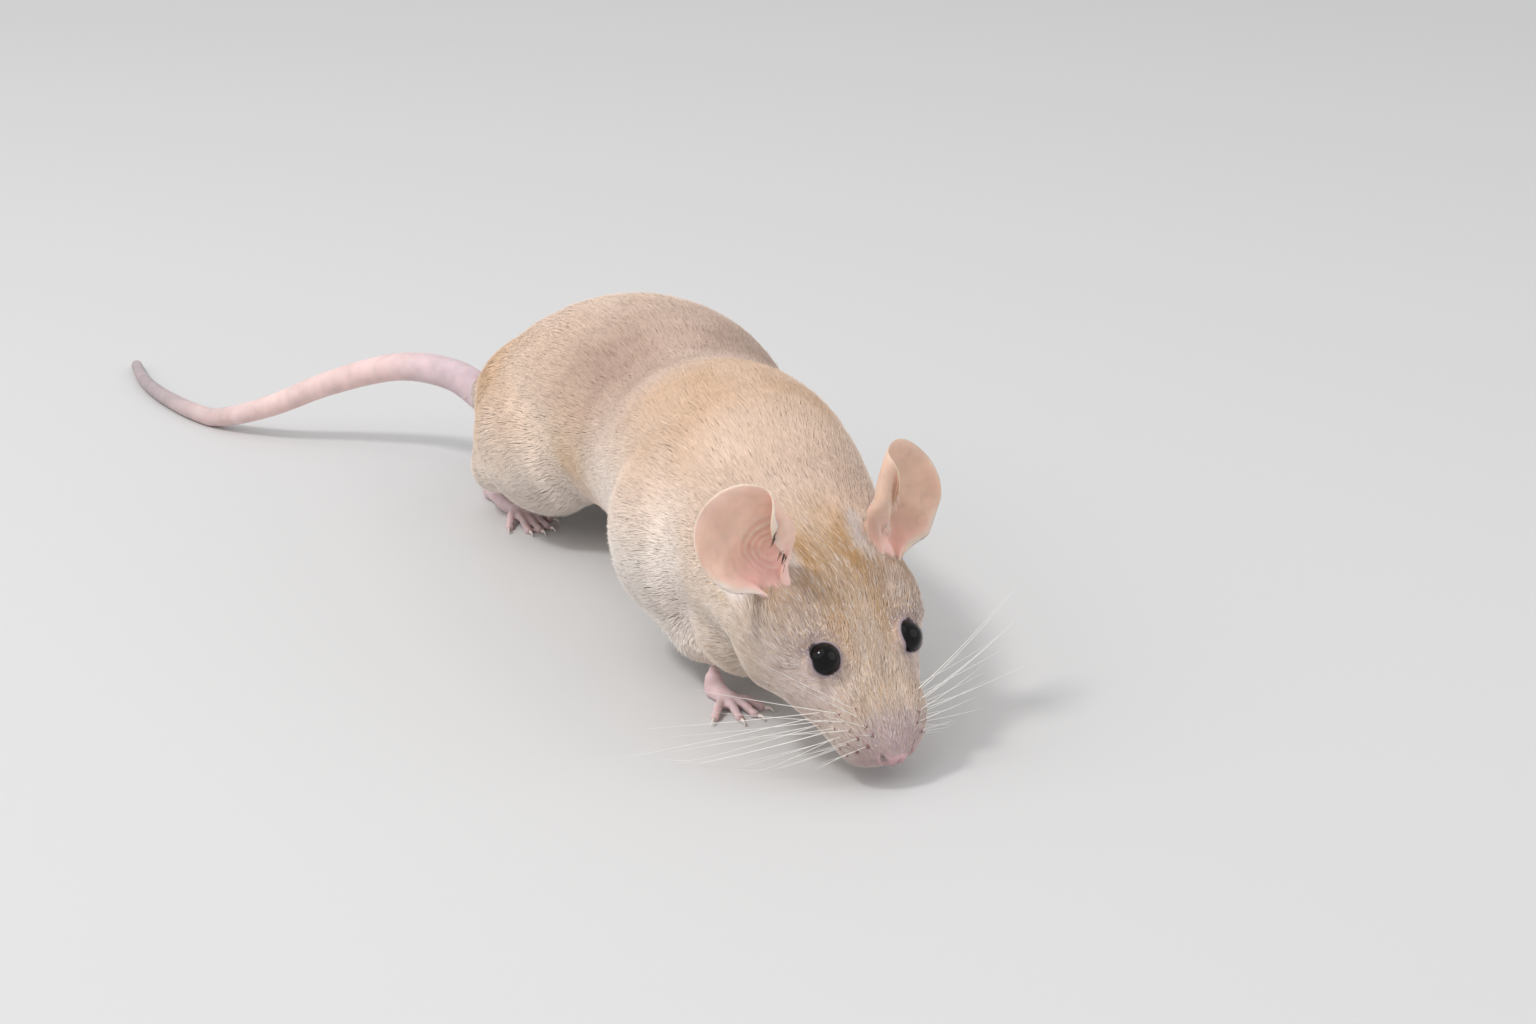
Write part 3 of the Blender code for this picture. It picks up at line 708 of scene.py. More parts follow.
def shapedFace(p, normals):
    x, y, z = foldedHead(p)
    lift = np.zeros(len(p))
    # the nose's bare pad: two cushions with a groove between them, and a nostril outside each
    wide, tall, stand = face["pad"]
    lift += stand * padShape(x, z + 0.05, wide, tall) * fade(y, 0.8, 1.7)
    lift += 0.12 * bell(x - 0.55, 0.5) * bell(z + 0.1, 0.7) * fade(y, 0.8, 1.6)
    groove = 0.17 * bell(x, 0.17) * fade(z, 0.0, 0.7)
    lift -= groove * fade(y, 2.0, 3.0) * fade(y, 3, 7)
    u, w = x - face["nostril"][0], z - face["nostril"][1]
    lift -= 0.8 * slitShape(u, w, 0.55, 0.17) * fade(y, 1.4, 2.4)
    lift += 0.16 * bell(np.hypot(u - 0.42, w - 0.1), 0.38) * fade(y, 1.6, 2.6)
    # the whisker pads swell to each side of the bridge, which stays a little lower beside them
    middle, reach, height = face["whiskerPad"]
    off = np.stack([x, y, z], -1) - np.array(middle)
    lift += height * bell(sizeOf(off * np.array([1.0, 0.75, 0.9])), reach)
    lift -= 0.16 * bell(x - 1.9, 0.5) * ramp(z, 0.6, 1.8) * bell(y - 4.0, 2.6)
    # the mouth: a groove that runs from under the pad back along each side
    past = np.maximum(y - 0.6, 0)
    line = -1.75 - 0.34 * past + 0.018 * past**2
    under = ramp(-z, 1.0, 2.0) * fade(y, 5.2, 6.6)
    lift -= face["mouthGroove"] * bell(z - line, 0.22) * under
    lift += 0.14 * bell(z - line - 0.75, 0.55) * under
    return p + normals * lift[:, None] * mm


def cleaned(form):
    welded(form, 0.002)
    bmesh.ops.dissolve_degenerate(form, edges=form.edges, dist=0.0005 * mm)
    bmesh.ops.recalc_face_normals(form, faces=form.faces)


def united(item, points, blocks, voxel=None):
    # melts a closed form into the skin, and gives the form's points as they went in
    other = meshObject("form", points, blocks)
    reshaped(other.data, [other.data], cleaned)
    if voxel:
        remeshed(other, voxel)
        flat = eased(other.data, pointsOf(other.data), 1.0, 3)
        flat[:, 2] = np.maximum(flat[:, 2], 0.0)
        setPoints(other.data, flat)
    join = item.modifiers.new("Join", "BOOLEAN")
    join.operation = "UNION"
    join.solver = "MANIFOLD"
    join.object = other
    before = len(item.data.vertices)
    applied(item)
    if len(item.data.vertices) <= before:
        print("a form did not join")
    kept = pointsOf(other.data)
    bpy.data.objects.remove(other, do_unlink=True)
    return kept


def matched(points, formPoints, values):
    # the values of those points that came from a form, and 0 for every other point
    both = np.round(np.concatenate([formPoints, points]) / mm * 1e4).astype(np.int64)
    _, index = np.unique(both, axis=0, return_inverse=True)
    index = index.reshape(-1)
    table = np.zeros(index.max() + 1)
    table[index[: len(formPoints)]] = values
    return table[index[len(formPoints) :]]


def easedValues(mesh, values, rounds):
    return eased(mesh, np.repeat(values[:, None], 3, 1), 1.0, rounds)[:, 0]


print("forms ready")
skin = bodySkin()
refinedHead(skin.data)
points = shapedFace(pointsOf(skin.data), normalsOf(skin.data))
setPoints(skin.data, shapedEyes(points))
print("head shaped", len(skin.data.polygons))
earParts, footParts = [], []
for label in sides:
    earPoints, earBlocks, earFacts = earForm(label)
    united(skin, earPoints, earBlocks)
    earParts.append((np.float32(earPoints[:-1]).astype(float), earFacts))
    for end in ("front", "hind"):
        footParts.append(united(skin, *footForm(end, label), voxel=foot["voxel"]))
tailPoints = united(skin, *tailForm())

# what each point of the joined skin belongs to
mesh = skin.data
points = pointsOf(mesh)
earPoints = np.concatenate([part for part, _ in earParts])
isEar = matched(points, earPoints, 1.0)
earRim, earHeight, earInner, earFolds = (
    matched(points, earPoints, np.concatenate([facts[key] for _, facts in earParts]))
    for key in ("rim", "height", "inner", "folds")
)
isFoot = matched(points, np.concatenate(footParts), 1.0)
isTail = matched(points, tailPoints, 1.0)
# where the pieces meet, the skin is smoothed
join = bell(ankleGaps(points).min(axis=0), skinPlan["footBlend"])
edge = sum(np.abs(part - easedValues(mesh, part, 5)) for part in (isEar, isTail))
rim = ramp(earRim * isEar * ramp(earHeight, 0.15, 0.3), 0.8, 0.95)
join = np.maximum(join, np.clip(edge * 3, 0, 1) * (1 - rim))
points = eased(mesh, points, np.clip(join * 1.6, 0, 1), 14)
setPoints(mesh, points)
isEar = easedValues(mesh, isEar, 3)
isFoot = easedValues(mesh, isFoot, 6)
isTail = easedValues(mesh, isTail, 6)
mesh.materials.clear()
mesh.polygons.foreach_set("material_index", np.zeros(len(mesh.polygons), np.int32))
mesh.shade_smooth()
triangles = sum(len(polygon.vertices) - 2 for polygon in mesh.polygons)
print("skin joined", len(mesh.polygons), triangles)
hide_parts(*[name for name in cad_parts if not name.startswith("eye")])
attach(skin, "root")

eyeLook = {
    "colour": (0.0025, 0.002, 0.002),
    "roughness": 0.035,
    "shine": 0.22,
    "rows": 40,
    "columns": 64,
    "fit": 0.995,  # share of the lids' ball
}


def newMaterial(name):
    material = bpy.data.materials.new(name)
    material.use_nodes = True
    nodes = material.node_tree.nodes
    shader = next(node for node in nodes if node.type == "BSDF_PRINCIPLED")
    return material, nodes, material.node_tree.links, shader


def setInputs(node, values):
    for name, value in values.items():
        node.inputs[name].default_value = value


def finished(item, material):
    item.data.shade_smooth()
    item.data.materials.append(material)
    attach(item, "root")


eyeMaterial, nodes, links, shader = newMaterial("eyeGloss")
setInputs(shader, {
    "Base Color": (*eyeLook["colour"], 1),
    "Roughness": eyeLook["roughness"],
    "Specular IOR Level": eyeLook["shine"],
})
for label in sides:
    radii = (skinPlan["eyeRadius"] * eyeLook["fit"],) * 3
    ball, blocks = ballForm((0, 0, 0), radii, eyeLook["rows"], eyeLook["columns"])
    eyeball = meshObject("eyeball_" + label, centreOf("eye_" + label) + ball * mm, blocks)
    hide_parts("eye_" + label)
    finished(eyeball, eyeMaterial)

# the coat's colours, shared by skin and fur
coatColours = {
    "pale": (0.94, 0.83, 0.76),
    "cream": (0.90, 0.70, 0.53),
    "gold": (0.62, 0.35, 0.12),
    "dusk": (0.50, 0.37, 0.30),
    "grey": (0.46, 0.37, 0.37),
    "muzzle": (0.64, 0.52, 0.52),
    "rose": (0.84, 0.69, 0.70),
    "nose": (0.50, 0.30, 0.32),
    "whiskerRoot": (0.24, 0.115, 0.11),
    "earBase": (0.97, 0.64, 0.58),
    "earSheet": (0.81, 0.57, 0.45),
    "earRim": (0.86, 0.70, 0.61),
    "foot": (0.64, 0.48, 0.48),
    "tail": (0.78, 0.58, 0.55),
    "lid": (0.06, 0.045, 0.05),
    "rim": (0.36, 0.28, 0.30),
    "snoutSkin": (0.66, 0.40, 0.41),
    "nostril": (0.16, 0.075, 0.07),
    "wisp": (0.95, 0.90, 0.90),
    "darkHair": (0.11, 0.055, 0.04),
    "paleHair": (0.82, 0.62, 0.54),
    "paleWhisker": (0.88, 0.85, 0.80),
    "clawHorn": (0.78, 0.66, 0.60),
}


def mixed(colour, name, share):
    return colour + (np.array(coatColours[name]) - colour) * np.clip(share, 0, 1)[:, None]


# where the coat is golden or dusky: place along the body and height over the floor,
# reach along and up, share
bodyMarks = (
    ("gold", (42.5, 18.0), (10.5, 10.0), 0.48),  # edge of the rump
    ("gold", (17.0, 15.0), (10.0, 8.5), 0.56),  # low on the flank
    ("gold", (-8.0, 29.0), (12.0, 7.0), 0.52),  # top of the shoulders
    ("gold", (-24.0, 12.0), (6.0, 9.0), 0.25),  # breast
    ("dusk", (15.5, 27.0), (10.0, 9.5), 0.98),  # the waist behind the shoulders, painted shade where the back dips behind them
    ("dusk", (-24.5, 24.0), (3.5, 6.0), 0.16),  # nape
)
# the same for the head: place and reach in its own frame, x to either side
headMarks = (
    ("gold", (2.6, 19.5, 6.0), (2.8, 5.5, 4.0), 0.95),  # crown between the ears
    ("gold", (1.8, 14.0, 5.5), (1.6, 4.5, 4.0), 0.75),  # forehead, each side of the pale line
    ("gold", (0.7, 9.0, 4.0), (0.7, 4.0, 3.0), 0.45),  # bridge of the snout
    ("dusk", (4.6, 17.0, 5.0), (2.4, 3.5, 3.0), 0.50),  # from the eye up to the ear
    ("dusk", (0.5, 16.6, 6.0), (0.9, 2.2, 3.0), 0.30),  # a dark streak on the forehead
    ("gold", (5.8, 7.6, -0.6), (1.0, 1.6, 1.2), 0.30),  # below the eye
    ("gold", (8.2, 17.8, 3.9), (2.2, 3.0, 2.0), 0.35),  # temple
    ("pale", (0.9, 10.5, 5.0), (0.9, 6.0, 3.0), 0.50),  # a pale line down the forehead and snout
    ("pale", (3.6, 3.6, -1.6), (2.4, 2.6, 1.8), 0.60),  # upper lip
    ("rose", (6.0, 9.5, 1.0), (3.6, 6.0, 4.6), 0.55),  # round the eye and the side of the snout
    ("dusk", (5.2, 7.6, 1.0), (1.4, 1.8, 1.4), 0.30),
    ("gold", (9.4, 15.5, -1.5), (2.2, 4.0, 2.6), 0.12),  # cheek
)


def furColour(p, n):
    # nearly white below and on the sides, cream above, with golden and dusky places that fade
    # into one another
    h, q = toHead(p), toBody(p)
    x, y, z = foldedHead(p)
    onHead = fade(y, 21, 27)
    patches = 0.6 * noise3(p, 9 * mm, 3) + 0.4 * noise3(p, 3.5 * mm, 5)
    streaks = noise3(h * np.array([2.4, 0.34, 1.4]), 1.0, 7)
    top = ramp(n[:, 2], -0.2, 0.9)
    colour = np.tile(np.array(coatColours["pale"]), (len(p), 1))
    cream = 0.12 + 0.42 * top + 0.20 * patches + 0.30 * onHead
    colour = mixed(colour, "cream", cream)
    for name, (place, height), (reach, tall), share in bodyMarks:
        off = ((q[:, 1] - place) / reach) ** 2 + ((q[:, 2] - height) / tall) ** 2
        share = share * np.exp(-off) * (1 + 0.6 * patches) * (1 - onHead)
        colour = mixed(colour, name, share)
    for name, place, reach, share in headMarks:
        off = (np.stack([x, y, z], -1) - np.array(place)) / np.array(reach)
        share = share * bell(sizeOf(off), 1.0) * (1 + 0.6 * patches)
        colour = mixed(colour, name, share)
    for label, side in sides.items():
        r, _, past = eyeSense(p, label)
        behind = h - mirrored(np.add(head["eye"], (1.6, 3.2, -0.4)), side)
        shade = 0.60 * fade(past, 8, 42) * (r < 2.6) + 0.62 * bell(sizeOf(behind), 2.6)
        colour = mixed(colour, "grey", shade)
    # painted shade: where the coat faces up it is darker and warmer, on the head and on the body
    upper = onHead * ramp(n[:, 2], 0.0, 0.8)
    colour = colour * (1 - np.outer(upper, (0.18, 0.23, 0.28)))
    upper = (1 - onHead) * ramp(n[:, 2], -0.1, 0.8)
    colour = colour * (1 - np.outer(upper, (0.10, 0.17, 0.20)))
    colour = mixed(colour, "dusk", 0.55 * onHead * np.clip(streaks, 0, 1))
    colour = mixed(colour, "cream", 0.45 * onHead * np.clip(-streaks, 0, 1))
    off = np.hypot(y - 0.5, 1.2 * (x - 1.0) * (x > 1)) + 0.4 * np.abs(z - 0.5)
    colour = mixed(colour, "muzzle", fade(off, 2.6, 6.4) * 0.9)
    collar = bell(sizeOf(q - np.array(tail["line"][0])), 5.0)
    return mixed(colour, "grey", 0.5 * collar)


def noseShare(p):
    x, y, z = foldedHead(p)
    wide, tall, _ = face["pad"]
    return padShape(x, z + 0.1, wide * 1.05, tall * 1.15) * fade(y, 1.2, 2.2)


def nostrilShare(p):
    x, y, z = foldedHead(p)
    u, w = x - face["nostril"][0], z - face["nostril"][1]
    return slitShape(u, w, 0.6, 0.22) * fade(y, 1.6, 2.6)


def setColour(mesh, name, colour):
    layer = mesh.attributes.new(name, "FLOAT_COLOR", "POINT")
    rgba = np.column_stack([colour, np.ones(len(colour))])
    layer.data.foreach_set("color", rgba.astype(np.float32).ravel())


normals = normalsOf(mesh)
colour = furColour(points, normals) * np.array([1.04, 0.98, 0.95])
h, q = toHead(points), toBody(points)
colour = mixed(colour, "snoutSkin", 0.75 * fade(h[:, 1], 3.0, 6.5))
colour = mixed(colour, "nose", noseShare(points) * 0.9)
colour = mixed(colour, "nostril", nostrilShare(points))
# the ears: redder at the root, pale at the rim, with folds and faint veins; the left ear is painted
# darker with shade
veins = noise3(points, 1.3 * mm, 11)
ears = np.tile(np.array(coatColours["earBase"]), (len(points), 1))
ears = mixed(ears, "earSheet", ramp(earHeight, 0.02, 0.5))
rim = ramp(earRim, 0.90, 0.99) * 0.45 + 0.12 * (earInner < 0)
ears = mixed(ears, "earRim", rim)
ears = ears * (1 + np.outer(earFolds, (0.03, 0.13, 0.13)))
ears = ears * (1 - 0.07 * bell(veins, 0.12) * ramp(earHeight, 0.1, 0.3))[:, None]
# painted shade: the left ear is darkened
ears = ears * (1 - np.outer(h[:, 0] > 0, (0.14, 0.16, 0.20)))
colour += (ears - colour) * ramp(isEar, 0.1, 0.9)[:, None]
# the skin that the funnel of each ear stands round is bare and pink too
funnel = np.zeros(len(points))
for side in sides.values():
    base = mirrored(np.add(ear["root"], (0.5, 0.3, 0.4)), side)
    funnel = np.maximum(funnel, fade(sizeOf(h - base), 1.8, 2.3))
colour = mixed(colour, "earBase", funnel * (isEar < 0.5) * 0.9)
# feet, and the tail, which is dim at its root and toward its end
colour = mixed(colour, "foot", ramp(isFoot, 0.1, 0.9))
colour = mixed(colour, "tail", ramp(isTail, 0.2, 0.9))
dim = 1 - np.outer(fade(q[:, 1], 58, 74), (0.22, 0.19, 0.10))
dim = dim - np.outer(ramp(q[:, 1], 80, 108), (0.48, 0.42, 0.38))
colour *= 1 + (dim - 1) * ramp(isTail, 0.2, 0.9)[:, None]
ruddy = noise3(points, 0.8 * mm, 17)
colour *= (1 + 0.05 * ruddy * np.maximum(isFoot, isTail))[:, None]
# the lids: degrees past the edge of the nearer eye's opening
lidPast = np.full(len(points), 90.0)
for label in sides:
    r, _, past = eyeSense(points, label)
    lidPast = np.minimum(lidPast, past + 60 * ramp(r, 1.98, 2.3))
colour = mixed(colour, "rim", fade(lidPast, 6, 13) * (isEar < 0.5))
colour = mixed(colour, "lid", fade(lidPast, 0, 4) * (isEar < 0.5))
bare = np.maximum.reduce([
    ramp(isEar, 0.3, 0.8),
    ramp(isFoot, 0.3, 0.8),
    ramp(isTail, 0.4, 0.9),
    ramp(noseShare(points), 0.3, 0.7),
    funnel,
    nostrilShare(points),
])
bare = np.clip(bare, 0, 1)

whiskers = {
    # each row's lift in degrees, how much further back it starts, and its count
    "rows": ((38.0, 0.7, 4), (22.0, 0.0, 5), (6.0, 0.1, 6), (-11.0, 0.4, 6), (-28.0, 0.9, 5)),
    "start": 2.3,
    "gap": 0.95,
    "lengths": (4.5, 20.0),
    "radius": 0.035,
    "rootRadius": 0.20,
    "rootDark": 0.8,
    "sag": 0.20,
    "overFloor": 0.35,
    "seeds": {"right": 19, "left": 23},
}
skinTree = BVHTree.FromObject(skin, bpy.context.evaluated_depsgraph_get())


def onSkin(start, aim):
    # where a line from outside first meets the skin, and the skin's way out there
    place, normal, _, _ = skinTree.ray_cast(Vector(start), Vector(aim))
    return np.array(place), np.array(normal)


def whiskerPlaces(side):
    # rows that fan round the muzzle and run back along it; each gives its root, the way out,
    # its row and how far back it is
    places = []
    for k, (lift, start, count) in enumerate(whiskers["rows"]):
        lift = math.radians(lift)
        out = mirrored((math.cos(lift), 0.0, math.sin(lift)), side)
        for j in range(count):
            back = whiskers["start"] + start + whiskers["gap"] * j
            outside = fromHead(np.array([0.0, back, -0.2]) + out * 9)
            root, normal = onSkin(outside, -headTurn @ out)
            places.append((root, normal, k, j / (count - 1)))
    return places


whiskerRows = {label: whiskerPlaces(side) for label, side in sides.items()}
whiskerRoots = np.array([place[0] for rows in whiskerRows.values() for place in rows])
muzzle = np.flatnonzero(toHead(points)[:, 1] < 9.5)
gaps = sizeOf(points[muzzle][:, None] - whiskerRoots[None]).min(axis=1) / mm
rootShare = np.zeros(len(points))
rootShare[muzzle] = fade(gaps, 0.16, 0.34)
colour = mixed(colour, "whiskerRoot", rootShare * whiskers["rootDark"])
setColour(mesh, "tint", colour)


def whiskerForm(label):
    # each whisker is a thin tube that tapers to a point: it leaves along the skin's way out,
    # leans back and sags
    side = sides[label]
    rng = np.random.default_rng(whiskers["seeds"][label])
    forms, mounds = [], []
    t = np.linspace(0, 1, 15)[:, None]
    for root, normal, k, share in whiskerRows[label]:
        length = between(whiskers["lengths"], share**0.9)
        length = length * (1 - 0.07 * abs(k - 2)) * rng.uniform(0.85, 1.1)
        back = 0.05 + 0.42 * share + rng.uniform(-0.14, 0.14)
        lift = 0.42 - 0.28 * k - 0.4 * back + rng.uniform(-0.12, 0.12)
        aim = unit(unit(headTurn @ mirrored((1.0, back, lift), side)) + 0.35 * normal)
        sag = headTurn @ mirrored((-0.15, 0.6, -0.1), side) + np.array([0, 0, -0.45])
        path = (aim * t + sag * (whiskers["sag"] * t**2)) * length * mm
        path = root - normal * (0.15 * mm) + path
        low = whiskers["overFloor"] * mm
        over = path[:, 2] - low
        path[:, 2] = low + 0.5 * (over + np.sqrt(over**2 + (0.5 * mm) ** 2))
        radii = (whiskers["radius"] * (1 - t[:, 0]) ** 0.8 + 0.006) * (0.75 + 0.35 * share)
        forms.append(tube(path, radii * mm, 6))
        size = whiskers["rootRadius"] * rng.uniform(0.85, 1.15)
        mounds.append(ballForm(root + normal * (0.02 * mm), np.full(3, size * mm), 5, 10))
    return forms, mounds


def grainNode(nodes, links, scale):
    # noise over the object's own place
    place = nodes.new("ShaderNodeTexCoord")
    grain = nodes.new("ShaderNodeTexNoise")
    setInputs(grain, {"Scale": scale})
    links.new(place.outputs["Object"], grain.inputs["Vector"])
    return grain


def simpleFinish(name, roughness, variation, size):
    # the colour of that name, which wanders a little in grain of the given size
    material, nodes, links, shader = newMaterial(name)
    colour = np.array(coatColours[name])
    grain = grainNode(nodes, links, 1 / size)
    wander = nodes.new("ShaderNodeMix")
    wander.data_type = "RGBA"
    for end, share in (("A", 1 - variation), ("B", 1 + variation)):
        setInputs(wander, {end: (*(colour * share), 1)})
    links.new(grain.outputs["Fac"], wander.inputs["Factor"])
    links.new(wander.outputs["Result"], shader.inputs["Base Color"])
    setInputs(shader, {"Roughness": roughness})
    return material


def addPiece(name, forms, material):
    finished(meshObject(name, *gathered(forms)), material)


hairs = {
    "bunches": ((0.06, 0.32, 26), (0.42, 0.52, 9)),  # from and to on the ear's height, and count
    "lengths": (0.6, 1.2),
    "radius": 0.036,
    "looks": {"right": "darkHair", "left": "paleHair"},
    "seeds": {"right": 51, "left": 53},
}


def earHairs(facts, label):
    # short hairs along the free edge of the rolled strip, that lean out over the cup and down
    rng = np.random.default_rng(hairs["seeds"][label])
    heights, edge, out = facts["edge"]
    t = np.linspace(0, 1, 6)[:, None]
    forms = []
    for height in np.concatenate([rng.uniform(*bunch) for bunch in hairs["bunches"]]):
        start, aim = along(height, heights, edge), along(height, heights, out)
        length = rng.uniform(*hairs["lengths"])
        down = mirrored((0.6, -0.4, -0.7), sides[label]) + rng.normal(0, 0.15, 3)
        aim = unit(0.3 * aim + headTurn @ down)
        path = start - aim * (0.25 * mm) + (aim * t + np.array([0, 0, -0.25]) * t**2) * length * mm
        forms.append(tube(path, (hairs["radius"] * (1 - t[:, 0]) ** 0.7 + 0.006) * mm, 5))
    return forms


for label, (_, facts) in zip(sides, earParts):
    hairMaterial = simpleFinish(hairs["looks"][label], 0.5, 0.2, 0.001)
    addPiece("ear_hairs_" + label, earHairs(facts, label), hairMaterial)
whiskerMaterial = simpleFinish("paleWhisker", 0.35, 0.06, 0.002)
rootMaterial = simpleFinish("whiskerRoot", 0.6, 0.15, 0.0003)
for label in sides:
    forms, mounds = whiskerForm(label)
    addPiece("whiskers_" + label, forms, whiskerMaterial)
    addPiece("whisker_roots_" + label, mounds, rootMaterial)

claw = {"length": 1.0, "radius": 0.17}


def clawForms(end, label):
    # a cone that leaves the toe's top and curves down to a point just over the floor
    forms = []
    t = np.linspace(0, 1, 9)
    for line, aim in toeLines(end, label):
        tip = line[-1]
        path = tip + aim * (0.22 + claw["length"] * t)[:, None]
        path[:, 2] = tip[2] + 0.12 + 0.22 * np.sin(np.pi * t * 0.9) - 0.28 * t**2
        points, blocks = tube(path, claw["radius"] * (1 - t) ** 0.6 + 0.02, 8, 1.2)
        points[:, 2] -= foot["sink"]
        forms.append((footPlace(end, label, points), blocks))
    return forms


clawMaterial = simpleFinish("clawHorn", 0.3, 0.08, 0.0006)
for end, label in limbs:
    addPiece(f"claws_{end}_{label}", clawForms(end, label), clawMaterial)
print("whiskers and claws ready")

fur = {
    "tufts": 240000,
    "perPiece": 32500,
    # how far back along the head's axis, and the value there
    "lengths": ((1.5, 4, 8, 12, 16, 21, 30, 44), (0.65, 0.95, 1.2, 1.4, 1.7, 2.1, 2.5, 2.7)),
    "widths": ((1.5, 6, 14, 24, 40), (0.05, 0.06, 0.075, 0.11, 0.14)),
    "crowding": ((1.5, 6, 14, 20, 28, 44), (56.0, 62.0, 54.0, 38.0, 26.0, 23.0)),
    "bend": 0.36,  # share of a tuft's length where it bends over
    "shades": (0.92, 0.98, 0.98, 1.0, 1.05),  # from root to tip: painted shade, darkest at the root and lightest at the tip
    "streaks": (("gold", 0.5), ("pale", 0.65), ("dusk", 0.6)),
    "strays": 0.03,
    "clump": 1.1,
    "pull": 0.07,
    "patch": 0.003,
    "seed": 7,
    "look": {"Roughness": 0.62, "Specular IOR Level": 0.22, "Sheen Weight": 0.12},
}
spineKnots = np.array((
    (-10.6, -33.0, 17.0), (-11.2, -27.5, 15.8), (-9.8, -20.0, 16.5), (-8.2, -12.0, 17.4),
    (-6.6, -4.0, 17.7), (-4.6, 4.0, 17.0), (-2.6, 11.5, 16.3), (-1.0, 18.5, 16.3),
    (-0.2, 26.0, 16.7), (-0.8, 34.0, 16.2), (-3.0, 42.0, 14.6), (-6.2, 48.6, 12.6),
    (-9.0, 53.6, 11.6), (-10.6, 56.4, 11.3),
))


def flattened(way, n):
    # the part of each direction that lies along the skin
    return way - n * np.sum(way * n, axis=1, keepdims=True)


def swung(way, n, swing):
    return way * np.cos(swing)[:, None] + np.cross(n, way) * np.sin(swing)[:, None]


def lieOf(p, n):
    # the way the hair lies: back from the nose over the head, along the spine and a little down
    # the flanks, down the legs, round the eyes, up into the ear's root and out over the tail's
    h, q = toHead(p), toBody(p)
    back = unit(h - np.array([0.0, -5.0, 0.5])) @ headTurn.T
    spine = along(q[:, 1], spineKnots[:, 1], np.gradient(spineKnots, axis=0))
    flank = 0.42 * (1 - np.abs(n[:, 2])) * ramp(n[:, 2], -0.9, 0.2)
    trunk = unit(spine) + np.array([0, 0, -1.0]) * flank[:, None]
    onBody = ramp(h[:, 1], 13, 25)[:, None]
    way = back * (1 - onBody) + trunk * onBody
    for label, side in sides.items():
        off = h - mirrored(head["eye"], side)
        way = way + unit(off) @ headTurn.T * (0.9 * bell(sizeOf(off) - 1.7, 1.3))[:, None]
        near = sizeOf(h - mirrored(np.add(ear["root"], (0.6, -2.2, -0.6)), side))
        rise = mirrored((0.25, 0.35, 1.0), side) @ headTurn.T
        way = way + rise * (1.5 * bell(near, 2.6))[:, None]
        for end, reach in (("front", 8.0), ("hind", 12.0)):
            off = (ankleOf(end, label) - p) / mm
            hold = 2.2 * fade(sizeOf(off), reach * 0.45, reach)
            way = way + unit(off) * hold[:, None]
    root = np.array(tail["line"][0])
    line = unit(np.array(tail["line"][2]) - root)
    way = way + line * (1.5 * bell(sizeOf(q - root), 6))[:, None]
    swing = np.radians(11 * noise3(p, 6 * mm, 21) + 8 * noise3(p, 1.7 * mm, 23))
    return swung(unit(flattened(way, n)), n, swing)


def rootsOn(mesh, weight, count, rng):
    # places spread evenly over the skin's triangles: the running total of area times weight is
    # cut into equal steps, with one place at random in each
    mesh.calc_loop_triangles()
    corners = valuesOf(mesh.loop_triangles, "vertices", 3)
    points = pointsOf(mesh)
    a, b, c = (points[corners[:, k]] for k in range(3))
    total = np.cumsum(sizeOf(np.cross(b - a, c - a)) * weight[corners].mean(axis=1))
    picks = (np.arange(count) + rng.random(count)) / count * total[-1]
    r, s = np.sqrt(rng.random(count)), rng.random(count)
    return corners[np.searchsorted(total, picks)], np.stack([1 - r, r * (1 - s), r * s], -1)


def tintNode(nodes):
    tint = nodes.new("ShaderNodeAttribute")
    tint.attribute_name = "tint"
    return tint


furMaterial, nodes, links, shader = newMaterial("fawnFur")
links.new(tintNode(nodes).outputs["Color"], shader.inputs["Base Color"])
setInputs(shader, fur["look"])


def tuftPiece(name, u, v, root, normal, way, length, width, rise, tip, lean, colour):
    # each tuft is a closed three-sided spindle: a point in the skin, a ring part way along and
    # a point at its tip; it leaves the skin, bends over at the ring and lies along it
    side = np.cross(way, normal)
    bent = unit(way + lean)
    middle = root + way * (fur["bend"] * length)[:, None] + normal * rise[:, None]
    across = side * width[:, None] * 0.5
    far = root + (way * fur["bend"] + bent * (1 - fur["bend"])) * length[:, None]
    points = np.stack([
        root - normal * (0.06 * mm),
        middle - across,
        middle + across,
        middle + normal * width[:, None] * 0.28,
        far + normal * tip[:, None],
    ], 1).reshape(-1, 3)
    base = (np.arange(len(root)) * 5)[:, None]
    spindle = ((0, 1, 2), (0, 2, 3), (0, 3, 1), (4, 2, 1), (4, 3, 2), (4, 1, 3))
    tris = np.concatenate([base + np.array([corners]) for corners in spindle])
    item = meshObject(name, points, [tris])
    # painted shade: each tuft's colour is darker toward its root
    tint = np.clip(colour[:, None] * np.array(fur["shades"])[None, :, None], 0, 0.98)
    setColour(item.data, "tint", tint.reshape(-1, 3))
    cornerU = u[:, None] + np.array([0.5, 0.0, 1.0, 0.5, 0.5]) * fur["patch"]
    cornerV = v[:, None] + np.array([0.0, 0.4, 0.4, 0.5, 1.0]) * fur["patch"]
    layout = np.stack([cornerU, cornerV], -1).reshape(-1, 2)[tris.ravel()]
    bake = item.data.uv_layers.new(name="OFBake")
    bake.data.foreach_set("uv", layout.astype(np.float32).ravel())
    finished(item, furMaterial)
    # a tuft is shaded much as the coat's surface is, and turns only a little to each side
    turned = 0.45 * side
    shading = [normal, unit(normal - turned), unit(normal + turned), normal, normal]
    item.data.normals_split_custom_set_from_vertices(np.stack(shading, 1).reshape(-1, 3))


rng = np.random.default_rng(fur["seed"])
headBack = toHead(points)[:, 1]
crowding = along(headBack, *fur["crowding"]) * (1 - bare)
crowding *= ramp(lidPast, 4, 11) * (1 - rootShare)
